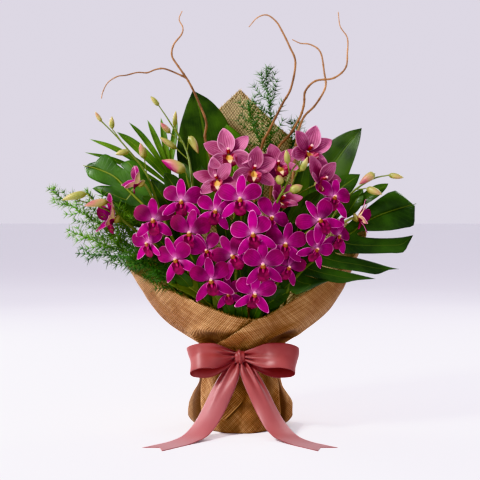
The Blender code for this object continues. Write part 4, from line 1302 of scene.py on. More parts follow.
def add_lip(shape, frame, size, facts):
    """A lip that hangs from the heart of the bloom, with curled sides and a frilled front."""
    sway = seeded.uniform(-0.8, 0.8)
    phase = seeded.uniform(0, 6)

    def place(u, v):
        across = edgewards(u)
        width = eased(facts["half"], v)
        frill = facts["frill"] * math.sin(16 * v + 6 * u + phase) * across * across * v
        height = eased(facts["rise"], v) + across * across * eased(facts["curl"], v) + frill
        spot = Vector((sway * v - across * width, -1 - facts["length"] * v, height))
        return frame @ (spot * size * MM)

    add_grid(shape, 12, 14, place)


def add_ball(shape, frame, size, place, radii, tint):
    """An egg of the given radii at a place in the bloom, in mm."""
    made = bmesh.ops.create_uvsphere(shape, u_segments=12, v_segments=8, radius=1, calc_uvs=True)
    layer = shape.verts.layers.float["tint"]
    for corner in made["verts"]:
        corner[layer] = tint
        spot = Vector(a * b for a, b in zip(corner.co, radii)) + Vector(place)
        corner.co = frame @ (spot * size * MM)


print("a tepal has", TEPAL_COLUMNS * TEPAL_ROWS, "faces on each side")

# %% [markdown]
# A spray is one stem with its blooms and buds. The stalk behind a bloom starts as a pale
# chin and runs back into the stem, and a bud is a tube that swells and closes at its tip.
# Petals, lips, columns and stems of a spray are four pieces, because each has one finish.

# %% Sprays
CHIN = [(0, 3.0), (0.12, 4.0), (0.26, 3.2), (0.4, 1.2), (1, 0.9)]
BUD_RADII = [(0, 0.8), (0.4, 0.8), (0.5, 0.75), (0.58, 0.9), (0.68, 1.0), (0.8, 0.86),
             (0.92, 0.45), (1, 0.06)]
BUD_LONGER = 1.12
BUD_FATTER = 1.25
BUD_PINKS = (0.4, 0.65)
STALK_TINTS = [(0, 0.75), (0.08, 0.62), (0.42, 0.52), (1, 0.15)]
STALK_BEHIND = (0, -6, -22)
OPEN_CHIN = 1.15
CLOSED_CHIN = 1.9


def add_stalk(stems, frame, size, rachis, chin):
    """The stalk of a bloom, from the chin at its back to the stem."""
    joint = rachis[max(1, nearest(rachis, frame @ point(*STALK_BEHIND)) - 2)]
    knots = [frame @ point(0, 0, 0), frame @ point(0, -3 * size, -6 * size),
             frame @ point(0, -4, -14 * size), joint]
    radii = [(share, radius * chin) for share, radius in CHIN]
    add_tube(stems, smooth_line(knots, 5), radii, 8, lambda u, v: eased(STALK_TINTS, v))


def add_bud(stems, rachis, tip, base, fat, pink):
    """A bud on its stalk, with a chin that bulges on the side turned to the stem."""
    tip, base = point(*tip), point(*base)
    tip, fat = base + (tip - base) * BUD_LONGER, fat * BUD_FATTER
    joint = rachis[max(0, nearest(rachis, base) - 2)]
    bulge = (joint - base).normalized() * fat * 0.5 * MM
    line = smooth_line([joint, base.lerp(joint, 0.3), base + bulge, base.lerp(tip, 0.5), tip], 5)
    radii = [(share, full * (fat if share > 0.5 else 1)) for share, full in BUD_RADII]
    middle = 0.48 + 0.28 * pink**2
    tints = [(0, 0.2), (0.5, 0.42), (0.7, middle), (0.86, 0.42 + pink / 2), (1, pink)]
    streak = seeded.uniform(-1, 1)

    def tint(u, v):
        blush = 0.22 * pink * math.cos(math.pi * (u - streak)) * (v > 0.6)
        return eased(tints, v) + blush

    add_tube(stems, line, radii, 10, tint)


def make_spray(name, facts, kind):
    """The petals, lips, columns and stems of one spray, in the place of its solid."""
    rachis = stem_line(facts["slot"], facts["knots"])
    petals, lips, hearts, stems = (new_shape() for _ in range(4))
    add_tube(stems, rachis, [(0, 2.4), (0.5, 2.0), (1, 0.8)], 8, 0.15)
    for number, (x, z, lift, yaw, pitch, roll, size, *closed) in enumerate(facts["blooms"]):
        frame_of = bloom_frame(x, z, lift, yaw, pitch, roll)
        closing = closed[0] if closed else 0
        shade_of_bloom = seeded.random() * (0.1 if number in facts.get("deep", ()) else 1)
        for tepal in kind["tepals"]:
            is_petal = kind["tepals"].index(tepal) in (1, 2)
            tone = 0.5 * shade_of_bloom + (0 if is_petal else kind["sepal_tone"])
            add_tepal(petals, frame_of, size, tepal, closing, tone)
        add_lip(lips, frame_of, size, kind["lip"])
        for place, radii, tint in kind["column"]:
            add_ball(hearts, frame_of, size, place, radii, tint)
        chin = kind["chin"] * (CLOSED_CHIN if closed else OPEN_CHIN)
        add_stalk(stems, frame_of, size, rachis, chin)
    for number, (tip, base, fat, *pink) in enumerate(facts.get("buds", [])):
        add_bud(stems, rachis, tip, base, fat, pink[0] if pink else BUD_PINKS[number % 2])
    thicken(petals, PETAL)
    thicken(lips, PETAL)
    for part, shape, finish in (
        ("petals", petals, kind["petal"]), ("lips", lips, kind["lip_finish"]),
        ("columns", hearts, heart_finish), ("stems", stems, stem_finish),
    ):
        make_piece(f"{name}_{part}", shape, finish, kind["slot"], name)


DENDROBIUM_KIND = dict(
    tepals=DENDROBIUM, lip=DENDROBIUM_LIP, petal=dendrobium_petal, lip_finish=dendrobium_lip,
    column=[((0, 1.5, 4), (2.4, 2.2, 4.6), 0.0), ((0, -1.8, 6.6), (3.6, 3.4, 2.0), 1.0),
            ((0, 1.2, 8), (1.9, 1.4, 1.4), 0.25), ((0, -6.8, 6.2), (2.0, 3.6, 1.1), 0.5)],
    chin=1.0, slot="dendrobium", sepal_tone=0.5,
)
CYMBIDIUM_KIND = dict(
    tepals=CYMBIDIUM, lip=CYMBIDIUM_LIP, petal=cymbidium_petal, lip_finish=cymbidium_lip,
    column=[((0, 4.2, 6.5), (3.0, 2.4, 7.5), 0.55), ((0, 2.4, 8), (2.6, 1.6, 7), 0.75),
            ((0, 4.0, 14.4), (2.2, 1.9, 1.7), 0.12)],
    chin=0.8, slot="cymbidium", sepal_tone=0.3,
)
print("a bloom has", len(DENDROBIUM), "tepals and a lip")

# %% [markdown]
# The eight stems carry the large blooms of the front. A bloom below is its x, its height,
# how far it stands out, its yaw, pitch and roll, its size and, where it is half closed, by
# how many degrees. A bud is its tip, its base, how fat it is and how pink.

# %% Dendrobium sprays
DENDROBIUM_SPRAYS = {
    "dendrobium_spray_1": dict(
        slot=(-3, -1),
        knots=[(-70, -34, 190), (-108, -52, 256), (-150, -70, 298), (-196, -80, 332),
               (-250, -84, 350)],
        blooms=[(-137, 283, -8, -28, -8, 12, 0.9), (-182, 320, 4, -40, 0, 14, 1.05, 30)],
        buds=[((-258, -92, 348), (-228, -86, 358), 4.6),
              ((-224, -100, 339), (-196, -86, 346), 4.8)],
    ),
    "dendrobium_spray_2": dict(
        slot=(-2, 0),
        knots=[(-54, -44, 190), (-86, -84, 262), (-116, -76, 325), (-140, -52, 385),
               (-176, -48, 432), (-212, -52, 470)],
        blooms=[(-89, 262, 4, -10, -6, 18, 0.98), (-123, 315, 10, 6, 4, 6, 1),
                (-144, 372, 4, -50, 4, -20, 0.85, 40)],
        buds=[((-216, -56, 478), (-209, -52, 466), 2.6), ((-192, -54, 471), (-193, -50, 456), 3.2),
              ((-184, -62, 416), (-168, -54, 421), 4), ((-148, -64, 430), (-144, -54, 412), 4.4)],
    ),
    "dendrobium_spray_3": dict(
        slot=(-2, -1),
        knots=[(-34, -54, 190), (-64, -92, 282), (-70, -78, 360), (-80, -46, 420),
               (-104, -36, 462), (-124, -36, 492)],
        blooms=[(-71, 299, 5, 0, -4, -4, 1.02), (-84, 344, 0, 4, -2, 0, 1)],
        buds=[((-134, -40, 503), (-124, -36, 492), 3), ((-118, -50, 462), (-107, -42, 450), 3.6),
              ((-118, -56, 440), (-97, -48, 426), 3.8), ((-64, -52, 420), (-76, -46, 446), 4.6),
              ((-112, -84, 404), (-82, -84, 392), 7.2, 1.0),
              ((-96, -60, 478), (-99, -46, 460), 2.8)],
    ),
    "dendrobium_spray_4": dict(
        slot=(-1, -2),
        knots=[(-24, -74, 190), (-40, -108, 240), (-46, -106, 292), (-46, -96, 336)],
        blooms=[(-40, 234, 8, 0, -6, 8, 1), (-48, 274, -5, 0, -4, 26, 0.84),
                (-36, 331, -1, 14, -6, -12, 0.92)],
    ),
    "dendrobium_spray_5": dict(
        slot=(0, -2),
        knots=[(-6, -78, 186), (-6, -110, 240), (2, -112, 296), (2, -98, 342)],
        blooms=[(-17, 212, -5, -4, -12, 10, 0.78), (-9, 267, 1, -14, -2, 34, 0.96),
                (18, 297, 9, 0, 0, 8, 1.02), (0, 345, 6, 0, 4, 0, 1.04)],
    ),
    "dendrobium_spray_6": dict(
        slot=(1, -2),
        knots=[(24, -76, 190), (33, -108, 244), (46, -112, 300), (52, -128, 340), (64, -136, 364),
               (74, -132, 388), (88, -126, 405)],
        blooms=[(20, 215, 5, 4, -10, -8, 0.98), (31, 255, 12, 2, -2, 2, 1.04),
                (44, 321, -2, 24, 0, -34, 0.94)],
        buds=[((66, -144, 416), (68, -136, 400), 3.6), ((96, -134, 406), (89, -130, 388), 3.6),
              ((54, -146, 380), (58, -138, 372), 4.6), ((88, -136, 366), (74, -138, 360), 5)],
    ),
    "dendrobium_spray_7": dict(
        slot=(2, -2),
        knots=[(48, -66, 200), (72, -102, 256), (88, -98, 300), (100, -84, 328)],
        blooms=[(70, 250, -4, 10, -4, -26, 0.84), (63, 283, 3, 6, 0, -10, 0.98),
                (105, 277, 4, 26, -10, -30, 0.88), (111, 315, 11, 0, 4, 34, 1)],
    ),
    "dendrobium_spray_8": dict(
        slot=(2, -1),
        knots=[(64, -46, 200), (112, -76, 272), (138, -74, 322), (164, -66, 356),
               (196, -78, 378), (222, -84, 384)],
        blooms=[(142, 294, -2, 24, 0, -20, 0.86), (133, 348, 7, 8, 4, -22, 0.96),
                (172, 322, 1, 58, -6, -24, 0.84, 36)],
        buds=[((238, -92, 380), (221, -86, 384), 3.4), ((178, -86, 372), (200, -86, 388), 5),
              ((206, -96, 356), (188, -88, 364), 4.4)],
    ),
}
for spray, facts in DENDROBIUM_SPRAYS.items():
    make_spray(spray, facts, DENDROBIUM_KIND)

# %% [markdown]
# Two short stems of small cymbidiums stand behind them. Their petals are broad and waxy,
# and cup forward around a lip with a yellow throat and a crimson edge. The same maker
# builds them from other facts.

# %% Cymbidium sprays
CYMBIDIUM_SPRAYS = {
    "cymbidium_spray_1": dict(
        slot=(-1, 0),
        knots=[(-8, -28, 240), (-8, -42, 330), (-4, -50, 390), (-4, -50, 410)], deep=(2,),
        blooms=[(-34, 377, -8, -6, 2, 10, 0.92), (-17, 410, 4, 4, 6, 6, 1.04),
                (20, 389, -2, 6, 0, -6, 0.98)],
    ),
    "cymbidium_spray_2": dict(
        slot=(1, 0),
        knots=[(34, -30, 240), (62, -46, 330), (82, -42, 378), (92, -26, 408)], deep=(0, 3),
        blooms=[(57, 398, -8, -4, 6, 14, 0.94), (97, 415, 8, 8, 2, -14, 1.06),
                (118, 374, -4, 34, 4, -40, 1.04), (70, 357, -24, 30, 24, -40, 0.86, 20)],
    ),
}
for spray, facts in CYMBIDIUM_SPRAYS.items():
    make_spray(spray, facts, CYMBIDIUM_KIND)

# %% [markdown]
# ## Leaves
# Leaves are dark and leathery, with a soft gloss. One finish serves them all: long veins or
# side veins are drawn from the map, the midrib is paler, and slow noise keeps large blades
# from looking flat. Veins cut into the mesh would cost far more faces than they show.


# %% Leaf finishes
def leaf_finish(name, dark, light, rib, veins_along, veins_aside):
    """A leaf: veins along it, or aside from its midrib at a slant, and a paler midrib."""
    leaf = Finish(name)
    u, v = leaf.map_axes()
    across = abs(u * 2 - 1)
    cloud = leaf.cloud(24, 4)
    fine = leaf.cloud(300, 2)
    body = leaf.mix(cloud.ease(0.3, 0.72), dark, light)
    lines = (u * veins_along + cloud * 0.3).fold(0.5).ease(0.20, 0.02)
    slants = (v * veins_aside - across * 2.2 + cloud * 0.25).fold(0.5).ease(0.10, 0.01)
    veins = lines * (1 if veins_along else 0) * 0.5 + slants * (1 if veins_aside else 0)
    body = leaf.mix(veins * 0.35, body, light)
    midrib = across.ease(0.045, 0.012)
    body = leaf.mix(midrib * 0.8, body, rib)
    body = leaf.mix((1 - leaf.painted("front")) * 0.35, body, light)
    body = leaf.mix(leaf.painted("tint"), body, rib)
    return leaf.surface({
        "Base Color": body,
        "Roughness": 0.36 + fine * 0.12,
        "Normal": leaf.bump(midrib * -1.2 - veins * 0.5 + fine * 0.15, 0.0006, 0.6),
        "Specular IOR Level": 0.35,
    })


long_leaf = leaf_finish(
    "long-veined leaf", shade(16, 38, 5), shade(54, 82, 16), shade(70, 94, 26), 26, 0
)
fresh_leaf = leaf_finish(
    "fresh leaf", shade(38, 72, 12), shade(84, 122, 36), shade(112, 142, 62), 22, 0
)
side_leaf = leaf_finish(
    "side-veined leaf", shade(18, 40, 7), shade(52, 82, 18), shade(92, 112, 40), 0, 9
)
olive_leaf = leaf_finish(
    "olive leaf", shade(52, 66, 20), shade(104, 116, 48), shade(140, 148, 78), 0, 9
)
monstera_leaf = leaf_finish(
    "monstera leaf", shade(16, 36, 5), shade(42, 72, 14), shade(74, 90, 30), 0, 14
)
young_monstera_leaf = leaf_finish(
    "young monstera leaf", shade(26, 56, 8), shade(58, 96, 22), shade(116, 124, 54), 0, 14
)
palm_leaf = leaf_finish(
    "palm leaf", shade(44, 76, 16), shade(94, 126, 40), shade(130, 150, 66), 8, 0
)
print("leaf finishes are ready")

# %% [markdown]
# A blade is a grid that follows its midrib. It is widest where its outline says, folded a
# little at the midrib and waved at its edge. Flat cards with a painted outline would be the
# cheap way, but they look cut out as soon as light falls from the side.

# %% Leaf blades
LANCE = [(0, 0), (0.15, 0.55), (0.35, 0.95), (0.5, 1), (0.7, 0.8), (0.88, 0.42), (1, 0)]
BLADE = 0.6
GROOVE_DEEP = 0.7
GROOVE_WIDE = 0.12
STALK_RADII = [(0, 2), (0.8, 1.8), (1, 0.9)]


def add_blade(shape, line, half, face, outline=LANCE, fold=0.15, wave=1.5, columns=12):
    """A blade down whose middle the line runs, folded at its midrib and waved at its edge."""
    face = Vector(face).normalized()
    last = len(line) - 1
    phase = seeded.uniform(0, 6)

    def place(u, v):
        k = round(v * last)
        along = tangent_at(line, k)
        side = along.cross(face).normalized()
        out = side.cross(along)
        across = edgewards(u)
        width = half * eased(outline, v)
        groove = -GROOVE_DEEP * bell(u, GROOVE_WIDE) * min(1, width / 8)
        ripple = wave * math.sin(8 * v + phase + 1.4 * u) * across * across
        rise = abs(across) * fold * width + groove + ripple * min(1, width / 10)
        return line[k] + (side * across * width + out * rise) * MM

    add_grid(shape, columns, last, place)


def make_leaf(name, facts):
    """A leaf with its stalk, and the small leaves of its sprig."""
    shape = new_shape()
    line = smooth_line(points(facts["spine"]), 8)
    add_blade(shape, line, facts["half"], facts["face"], fold=facts.get("fold", 0.15),
              wave=facts.get("wave", 1.5))
    for foot, tip, half in facts.get("small", []):
        foot, tip = point(*foot), point(*tip)
        arch = (foot + tip) / 2 + point(seeded.uniform(-4, 4), -5, 3)
        face = (seeded.uniform(-0.4, 0.4), -1, seeded.uniform(-0.1, 0.5))
        add_blade(shape, smooth_line([foot, arch, tip], 7), half, face, fold=0.25, columns=8)
    thicken(shape, BLADE)
    stalk = stem_line(facts["slot"], [*facts["stalk"], *facts["spine"][:2]])
    add_tube(shape, stalk, STALK_RADII, 8, 1.0)
    make_piece(name + "_blade", shape, facts["finish"], "leaf_green", name)


print("a blade is", BLADE, "mm thick")

# %% [markdown]
# Each leaf below has the slot of its stalk, its stalk, its midrib, half its width, the way it
# faces and its finish. The small leaves of a sprig fill the gaps between the stems, and each
# is its foot, its tip and half its width.

# %% Leaves
LEAVES = {
    "aspidistra_leaf_tall": dict(
        slot=(-1, 2), stalk=[(-30, 44, 190), (-46, 62, 270)],
        spine=[(-52, 68, 310), (-50, 70, 352), (-51, 74, 400), (-56, 76, 445), (-64, 77, 488),
               (-76, 76, 526)],
        half=49, face=(0.1, -1, 0.1), finish=long_leaf,
    ),
    "aspidistra_leaf_short": dict(
        slot=(0, 2), stalk=[(-6, 42, 250), (-8, 46, 330)],
        spine=[(-8, 48, 372), (-10, 48, 400), (-13, 46, 434), (-22, 42, 468)],
        half=27, face=(-0.1, -1, 0.1), finish=fresh_leaf,
    ),
    "aspidistra_leaf_right": dict(
        slot=(1, 3), stalk=[(60, 48, 220), (92, 58, 290)],
        spine=[(104, 58, 316), (122, 56, 356), (142, 52, 394), (166, 44, 430), (192, 36, 462)],
        half=34, face=(-0.35, -1, 0.25), finish=long_leaf,
        small=[((86, 22, 320), (104, 22, 406), 15)],
    ),
    "salal_leaf_right": dict(
        slot=(2, 1), stalk=[(70, 2, 220), (96, -6, 280)],
        spine=[(108, -10, 304), (126, -12, 332), (150, -8, 362), (186, 0, 388)],
        half=27, face=(-0.2, -1, 0.5), finish=side_leaf,
        small=[((170, -58, 336), (222, -60, 372), 9), ((155, -56, 318), (184, -58, 364), 12),
               ((144, -54, 318), (162, -56, 366), 11)],
    ),
    "salal_leaf_back_left": dict(
        slot=(-1, -1), stalk=[(-30, -28, 180)],
        spine=[(-52, -38, 222), (-74, -42, 262), (-92, -42, 304), (-102, -34, 346)],
        half=30, face=(-0.3, -1, 0.2), finish=side_leaf,
        small=[((-58, -66, 222), (-98, -80, 272), 11), ((-88, -58, 250), (-130, -68, 296), 12),
               ((-52, -78, 262), (-86, -80, 326), 12), ((-98, -48, 285), (-128, -52, 342), 12),
               ((-40, -88, 232), (-58, -98, 288), 11), ((-112, -56, 258), (-142, -66, 280), 10),
               ((-60, -70, 300), (-56, -74, 356), 11), ((-70, -84, 212), (-104, -88, 244), 10),
               ((-84, -24, 336), (-116, -22, 390), 14), ((-70, -22, 346), (-90, -16, 406), 13),
               ((-104, -30, 314), (-150, -34, 354), 13), ((-62, -24, 348), (-60, -18, 402), 12),
               ((-98, -24, 328), (-136, -22, 380), 13), ((-128, -34, 298), (-178, -34, 338), 13),
               ((-140, -36, 304), (-196, -34, 348), 12)],
    ),
    "salal_leaf_back_middle": dict(
        slot=(0, -1), stalk=[(6, -46, 176)],
        spine=[(2, -62, 212), (2, -68, 252), (4, -68, 296), (8, -60, 340)],
        half=27, face=(0, -1, 0.2), finish=side_leaf,
        small=[((-14, -84, 196), (-30, -96, 246), 11), ((4, -86, 222), (-6, -96, 282), 12),
               ((-18, -86, 276), (-32, -92, 334), 12), ((8, -84, 288), (24, -90, 346), 11),
               ((14, -84, 196), (42, -98, 240), 12), ((22, -88, 258), (46, -94, 312), 12),
               ((-32, -84, 190), (-62, -96, 226), 11), ((30, -80, 186), (74, -92, 214), 12),
               ((-4, -84, 184), (8, -92, 216), 11), ((-10, -78, 164), (-24, -94, 200), 9),
               ((6, -78, 160), (0, -93, 204), 9), ((16, -78, 164), (32, -94, 204), 9)],
    ),
    "salal_leaf_back_right": dict(
        slot=(2, 0), stalk=[(44, -46, 186)],
        spine=[(54, -54, 218), (74, -58, 258), (86, -54, 300), (92, -44, 344)],
        half=24, face=(0.3, -1, 0.2), finish=side_leaf,
        small=[((50, -80, 226), (76, -90, 276), 12), ((82, -72, 246), (112, -82, 290), 12),
               ((62, -80, 286), (80, -84, 342), 12), ((108, -62, 282), (142, -70, 330), 12),
               ((68, -96, 312), (92, -104, 350), 6), ((72, -98, 310), (106, -100, 344), 6),
               ((92, -60, 318), (122, -64, 362), 11), ((56, -84, 206), (98, -88, 240), 11),
               ((60, -70, 330), (64, -70, 380), 10)],
    ),
    "salal_leaf_rim": dict(
        slot=(-2, -3), stalk=[(-30, -64, 166)],
        spine=[(-40, -76, 187), (-66, -87, 212), (-100, -84, 230), (-140, -75, 242)],
        half=14, face=(-0.2, -0.8, 0.7), fold=0.5, finish=olive_leaf,
    ),
    "salal_leaf_front": dict(
        slot=(-1, -3), stalk=[(-12, -62, 158)],
        spine=[(-18, -74, 172), (-28, -88, 192), (-40, -96, 211)],
        half=12, face=(0, -1, 0.35), finish=olive_leaf,
    ),
    "salal_leaf_front_right": dict(
        slot=(1, -3), stalk=[(27, -60, 160)],
        spine=[(32, -70, 174), (44, -86, 198), (60, -92, 222)],
        half=17, face=(0.2, -1, 0.5), finish=side_leaf,
    ),
}
for leaf_name, facts in LEAVES.items():
    make_leaf(leaf_name, facts)

# %% [markdown]
# ## Monstera
# A monstera leaf is split between its side veins into long fingers. Each finger is a grid
# that starts at the midrib. Near the midrib neighbours share an edge, so they weld into one
# blade, and further out each draws in from that edge, which opens the slit. Cutting slits
# out of a whole blade would leave ragged faces along them.

# %% Monstera
FINGER_ROWS = 14
INNER_ROWS = 4
FREE_FROM = 0.25
FINGER_ARCH = 0.13
FINGER_WAVE = 1.6
FINGER_DROOP = 9
TIP_MAP = (0.77, 0.22)


def leaf_place(plane, x, z):
    """A point of the leaf's tilted plane, from its place as seen from the front."""
    (x0, y0, z0), (tilt_x, tilt_z) = plane
    return point(x, y0 + tilt_x * (x - x0) + tilt_z * (z - z0), z)


def finger_edge(plane, midrib, edge):
    """One edge of a finger: from the midrib straight to the slit's end, then smoothly on."""
    share, knots = edge
    root = along_line(midrib, share)
    if not knots:
        count = INNER_ROWS + FINGER_ROWS
        return [along_line(midrib, share + (1 - share) * k / count) for k in range(count + 1)]
    places = [leaf_place(plane, x, z) for x, z in knots]
    outer = smooth_line(places, 6)
    inner = [root.lerp(places[0], k / INNER_ROWS) for k in range(INNER_ROWS)]
    return inner + [along_line(outer, k / FINGER_ROWS) for k in range(FINGER_ROWS + 1)]


def add_finger(shape, facts, midrib, first, second, is_tip):
    """One finger between its two edges, arched across and drooping towards its end."""
    plane, face = facts["plane"], Vector(facts["face"]).normalized()
    low = finger_edge(plane, midrib, first)
    high = finger_edge(plane, midrib, second)
    last = len(low) - 1
    phase = seeded.uniform(0, 6)

    def place(u, v):
        k = round(v * last)
        spot = low[k].lerp(high[k], (u + 1) / 2)
        wide = (low[k] - high[k]).length / MM
        free = between(v, FREE_FROM, 1)
        wave = FINGER_WAVE * math.sin(6 * v + phase)
        arch = (FINGER_ARCH * wide * (1 - u * u) + wave) * free
        return spot + (face * (arch - FINGER_DROOP * free**3)) * MM

    corners = add_grid(shape, 8, last, place)
    if is_tip:
        measured_map(shape, corners, lambda u, v: (TIP_MAP[0] + TIP_MAP[1] * u, v))


def make_monstera(name, facts):
    """A split leaf. The plane and the edges of its fingers are given as seen from the front."""
    shape = new_shape()
    midrib = smooth_line([leaf_place(facts["plane"], x, z) for x, z in facts["midrib"]], 4)
    for first, second in facts["fingers"]:
        add_finger(shape, facts, midrib, first, second, not (first[1] and second[1]))
    thicken(shape, BLADE)
    stalk = stem_line(facts["slot"], facts["stalk"])
    stalk += [spot - Vector(facts["face"]).normalized() * 0.2 * MM for spot in midrib]
    add_tube(shape, stalk, [(0, 2.4), (0.4, 2.0), (0.6, 1.5), (1, 0.5)], 8, 1.0)
    make_piece(name + "_blade", shape, facts["finish"], "leaf_green", name)


print("a finger has", INNER_ROWS + FINGER_ROWS, "rows of faces")

# %% [markdown]
# A finger below is its two edges, and an edge is its place on the midrib and its knots as
# seen from the front. Neighbours share the end of their slit.

# %% Monstera leaves
RIGHT_SLITS = [(92, 238), (116, 252), (139, 270), (174, 297)]
LEFT_LOW_SLIT = (-195, 369)
LEFT_HIGH_SLIT = (-177, 395)
MONSTERAS = {
    "monstera_leaf_right": dict(
        slot=(3, 0), stalk=[(64, -48, 176), (68, -86, 206)], finish=monstera_leaf,
        plane=((103, -96, 253), (0.12, 0.35)), face=(0.12, -1, 0.35),
        midrib=[(74, 226), (96, 248), (118, 264), (142, 281), (168, 300), (196, 319), (230, 332),
                (266, 342)],
        fingers=[
            ((0.0, [(78, 240), (100, 262), (124, 279), (146, 297), (163, 314), (187, 333),
                    (215, 354), (235, 364), (250, 356), (266, 342)]), (0.0, [])),
            ((0.54, []), (0.54, [RIGHT_SLITS[3], (181, 301), (199, 301), (224, 302), (247, 306),
                                 (261, 310), (264, 326), (266, 342)])),
            ((0.54, [RIGHT_SLITS[3], (180, 293), (198, 291), (224, 291), (244, 293), (261, 297)]),
             (0.36, [RIGHT_SLITS[2], (155, 268), (177, 268), (197, 268), (223, 269), (243, 270),
                     (252, 282), (261, 297)])),
            ((0.36, [RIGHT_SLITS[2], (147, 266), (172, 262), (197, 256), (222, 249), (237, 247)]),
             (0.2, [RIGHT_SLITS[1], (139, 247), (167, 243), (181, 241), (199, 238), (209, 240),
                    (221, 245), (237, 247)])),
            ((0.2, [RIGHT_SLITS[1], (126, 248), (147, 244), (166, 240), (181, 237), (201, 233)]),
             (0.1, [RIGHT_SLITS[0], (104, 235), (121, 230), (141, 226), (154, 226), (171, 230),
                    (201, 233)])),
            ((0.1, [RIGHT_SLITS[0], (112, 232), (132, 230), (120, 225), (99, 216), (83, 211)]),
             (0.0, [(72, 222), (72, 217), (76, 213), (83, 211)])),
        ],
    ),
    "monstera_leaf_left": dict(
        slot=(-3, 1), stalk=[(-88, -8, 210), (-118, -18, 270), (-132, -34, 316)],
        finish=young_monstera_leaf,
        plane=((-193, -22, 384), (-0.05, 0.3)), face=(-0.1, -1, 0.35),
        midrib=[(-142, 336), (-171, 363), (-193, 384), (-220, 396), (-241, 401)],
        fingers=[
            ((0.5, []), (0.5, [LEFT_HIGH_SLIT, (-188, 402), (-196, 413), (-207, 419), (-215, 416),
                               (-219, 409), (-232, 406), (-241, 401)])),
            ((0.45, [LEFT_LOW_SLIT, (-211, 373), (-230, 382), (-236, 391), (-241, 401)]),
             (0.45, [])),
            ((0.0, [(-151, 327), (-165, 333), (-181, 343), (-201, 352), (-217, 360), (-227, 368)]),
             (0.45, [LEFT_LOW_SLIT, (-206, 370), (-217, 370), (-227, 368)])),
            ((0.5, [LEFT_HIGH_SLIT, (-182, 400), (-184, 404), (-180, 408)]),
             (0.0, [(-134, 352), (-134, 366), (-142, 388), (-156, 405), (-168, 411), (-180, 408)])),
        ],
    ),
}
for leaf_name, facts in MONSTERAS.items():
    make_monstera(leaf_name, facts)

# %% [markdown]
# ## Palm
# The palm frond at the upper left is a fan of narrow folded leaflets on a thin stalk. They
# use the maker of the other blades, with a narrower outline and a deeper fold.

# %% Palm
PALM_RACHIS = [(-98, 50, 356), (-106, 46, 376), (-112, 44, 390)]
PALM_TIPS = [(-243, 20, 423, 2.8, 9), (-236, 24, 444, 3.2, 9), (-194, 34, 456, 5.4, 6),
             (-175, 34, 471, 3.2, 7), (-147, 46, 476, 3.4, 3), (-126, 54, 480, 3.6, 1),
             (-101, 60, 482, 3.6, -1)]
LEAFLET = [(0, 0.2), (0.3, 0.8), (0.55, 1), (0.8, 0.7), (1, 0)]
LEAFLET_WIDER = 1.4

palm_shape = new_shape()
palm_line = smooth_line(points(PALM_RACHIS), 6)
for number, (x, y, z, half, rise) in enumerate(PALM_TIPS):
    root = along_line(palm_line, number / (len(PALM_TIPS) - 1))
    tip = point(x, y, z)
    arch = point(0, -4, rise)
    leaflet = smooth_line([root, root.lerp(tip, 0.35) + arch, root.lerp(tip, 0.7) + arch, tip], 5)
    add_blade(palm_shape, leaflet, half * LEAFLET_WIDER, (0.1, -1, 0.2), LEAFLET, 0.3, 0.4, 6)
thicken(palm_shape, BLADE)
palm_stalk = stem_line((-2, 3), [(-52, 44, 220), (-96, 50, 320)] + PALM_RACHIS)
add_tube(palm_shape, palm_stalk, [(0, 2.2), (0.7, 2), (1, 1)], 8, 1.0)
make_piece("palm_leaflets", palm_shape, palm_leaf, "palm_green", "palm_frond")

# %% [markdown]
# ## Asparagus fern
# Asparagus fern is a soft cloud of green needles, paler at their tips. Two mixes of one
# finish tell the pale sprays at the far left from the deeper ones.


# %% Fern finish
def fern_finish(name, dark, light, tips):
    """Needles that are dark at their foot and paler at their tip."""
    fern = Finish(name)
    cloud = fern.cloud(30, 3)
    fine = fern.cloud(400, 2)
    body = fern.mix(cloud.ease(0.3, 0.7), dark, light)
    ends = fern.painted("tint") * (0.3 + fine.ease(0.4, 0.7) * 0.4)
    return fern.surface({"Base Color": fern.mix(ends, body, tips), "Roughness": 0.5})


pale_fern = fern_finish(
    "pale fern needles", shade(30, 74, 8), shade(84, 136, 30), shade(174, 200, 100)
)
deep_fern = fern_finish(
    "deep fern needles", shade(12, 44, 6), shade(46, 92, 22), shade(104, 150, 56)
)
print("fern finishes are ready")

# %% [markdown]
# Loose cones could be set along a shoot as needles. Here a thin tube is made for each shoot
# instead, every second ring of its faces is poked, and the new middle corners are pulled out
# and forward, so shoot and needles are one closed mesh and a needle costs four faces.

# %% Fern shoots
WHORL_PITCH = 6.2
WHORL_SHARE = 0.26
NEEDLE_LEAN = (30, 66)
NEEDLE_SPREAD = (0.6, 1.15)


def add_fern_shoot(shape, line, radius, needle):
    """A thin tube whose short rings are poked and pulled out into whorls of needles."""
    count = max(2, round(length_of(line) / MM / WHORL_PITCH))
    shares = [(k + ring) / count for k in range(count) for ring in (0, WHORL_SHARE)]
    spots = [along_line(line, share) for share in shares] + [line[-1]]
    rings = add_tube(shape, spots, [(0, radius), (1, radius * 0.5)], 5)
    tufts = [face for ring in range(1, 2 * count, 2) for face in rings[ring]]
    tints = shape.verts.layers.float["tint"]
    for tip in bmesh.ops.poke(shape, faces=tufts)["verts"]:
        tip[tints] = 1
        k = nearest(spots, tip.co)
        along = tangent_at(spots, k)
        out = tip.co - spots[k]
        out = (out - along * out.dot(along)).normalized()
        lean = math.radians(seeded.uniform(*NEEDLE_LEAN))
        reach = needle * seeded.uniform(*NEEDLE_SPREAD) * MM
        tip.co = tip.co + (out * math.sin(lean) + along * math.cos(lean)) * reach


print("a whorl of needles every", WHORL_PITCH, "mm")

# %% [markdown]
# A spray has side shoots all round its stem, turned on by a fixed angle from one to the next
# as many plants do. They lean forward and grow shorter towards the tip.

# %% Fern sprays
SIDE_STEP = 7.5
SIDE_TURN = 2.4
SIDE_FLAT = 0.6
SIDE_SHORTEST = 10
MAIN_NEEDLE = 10
SIDE_NEEDLE = 14


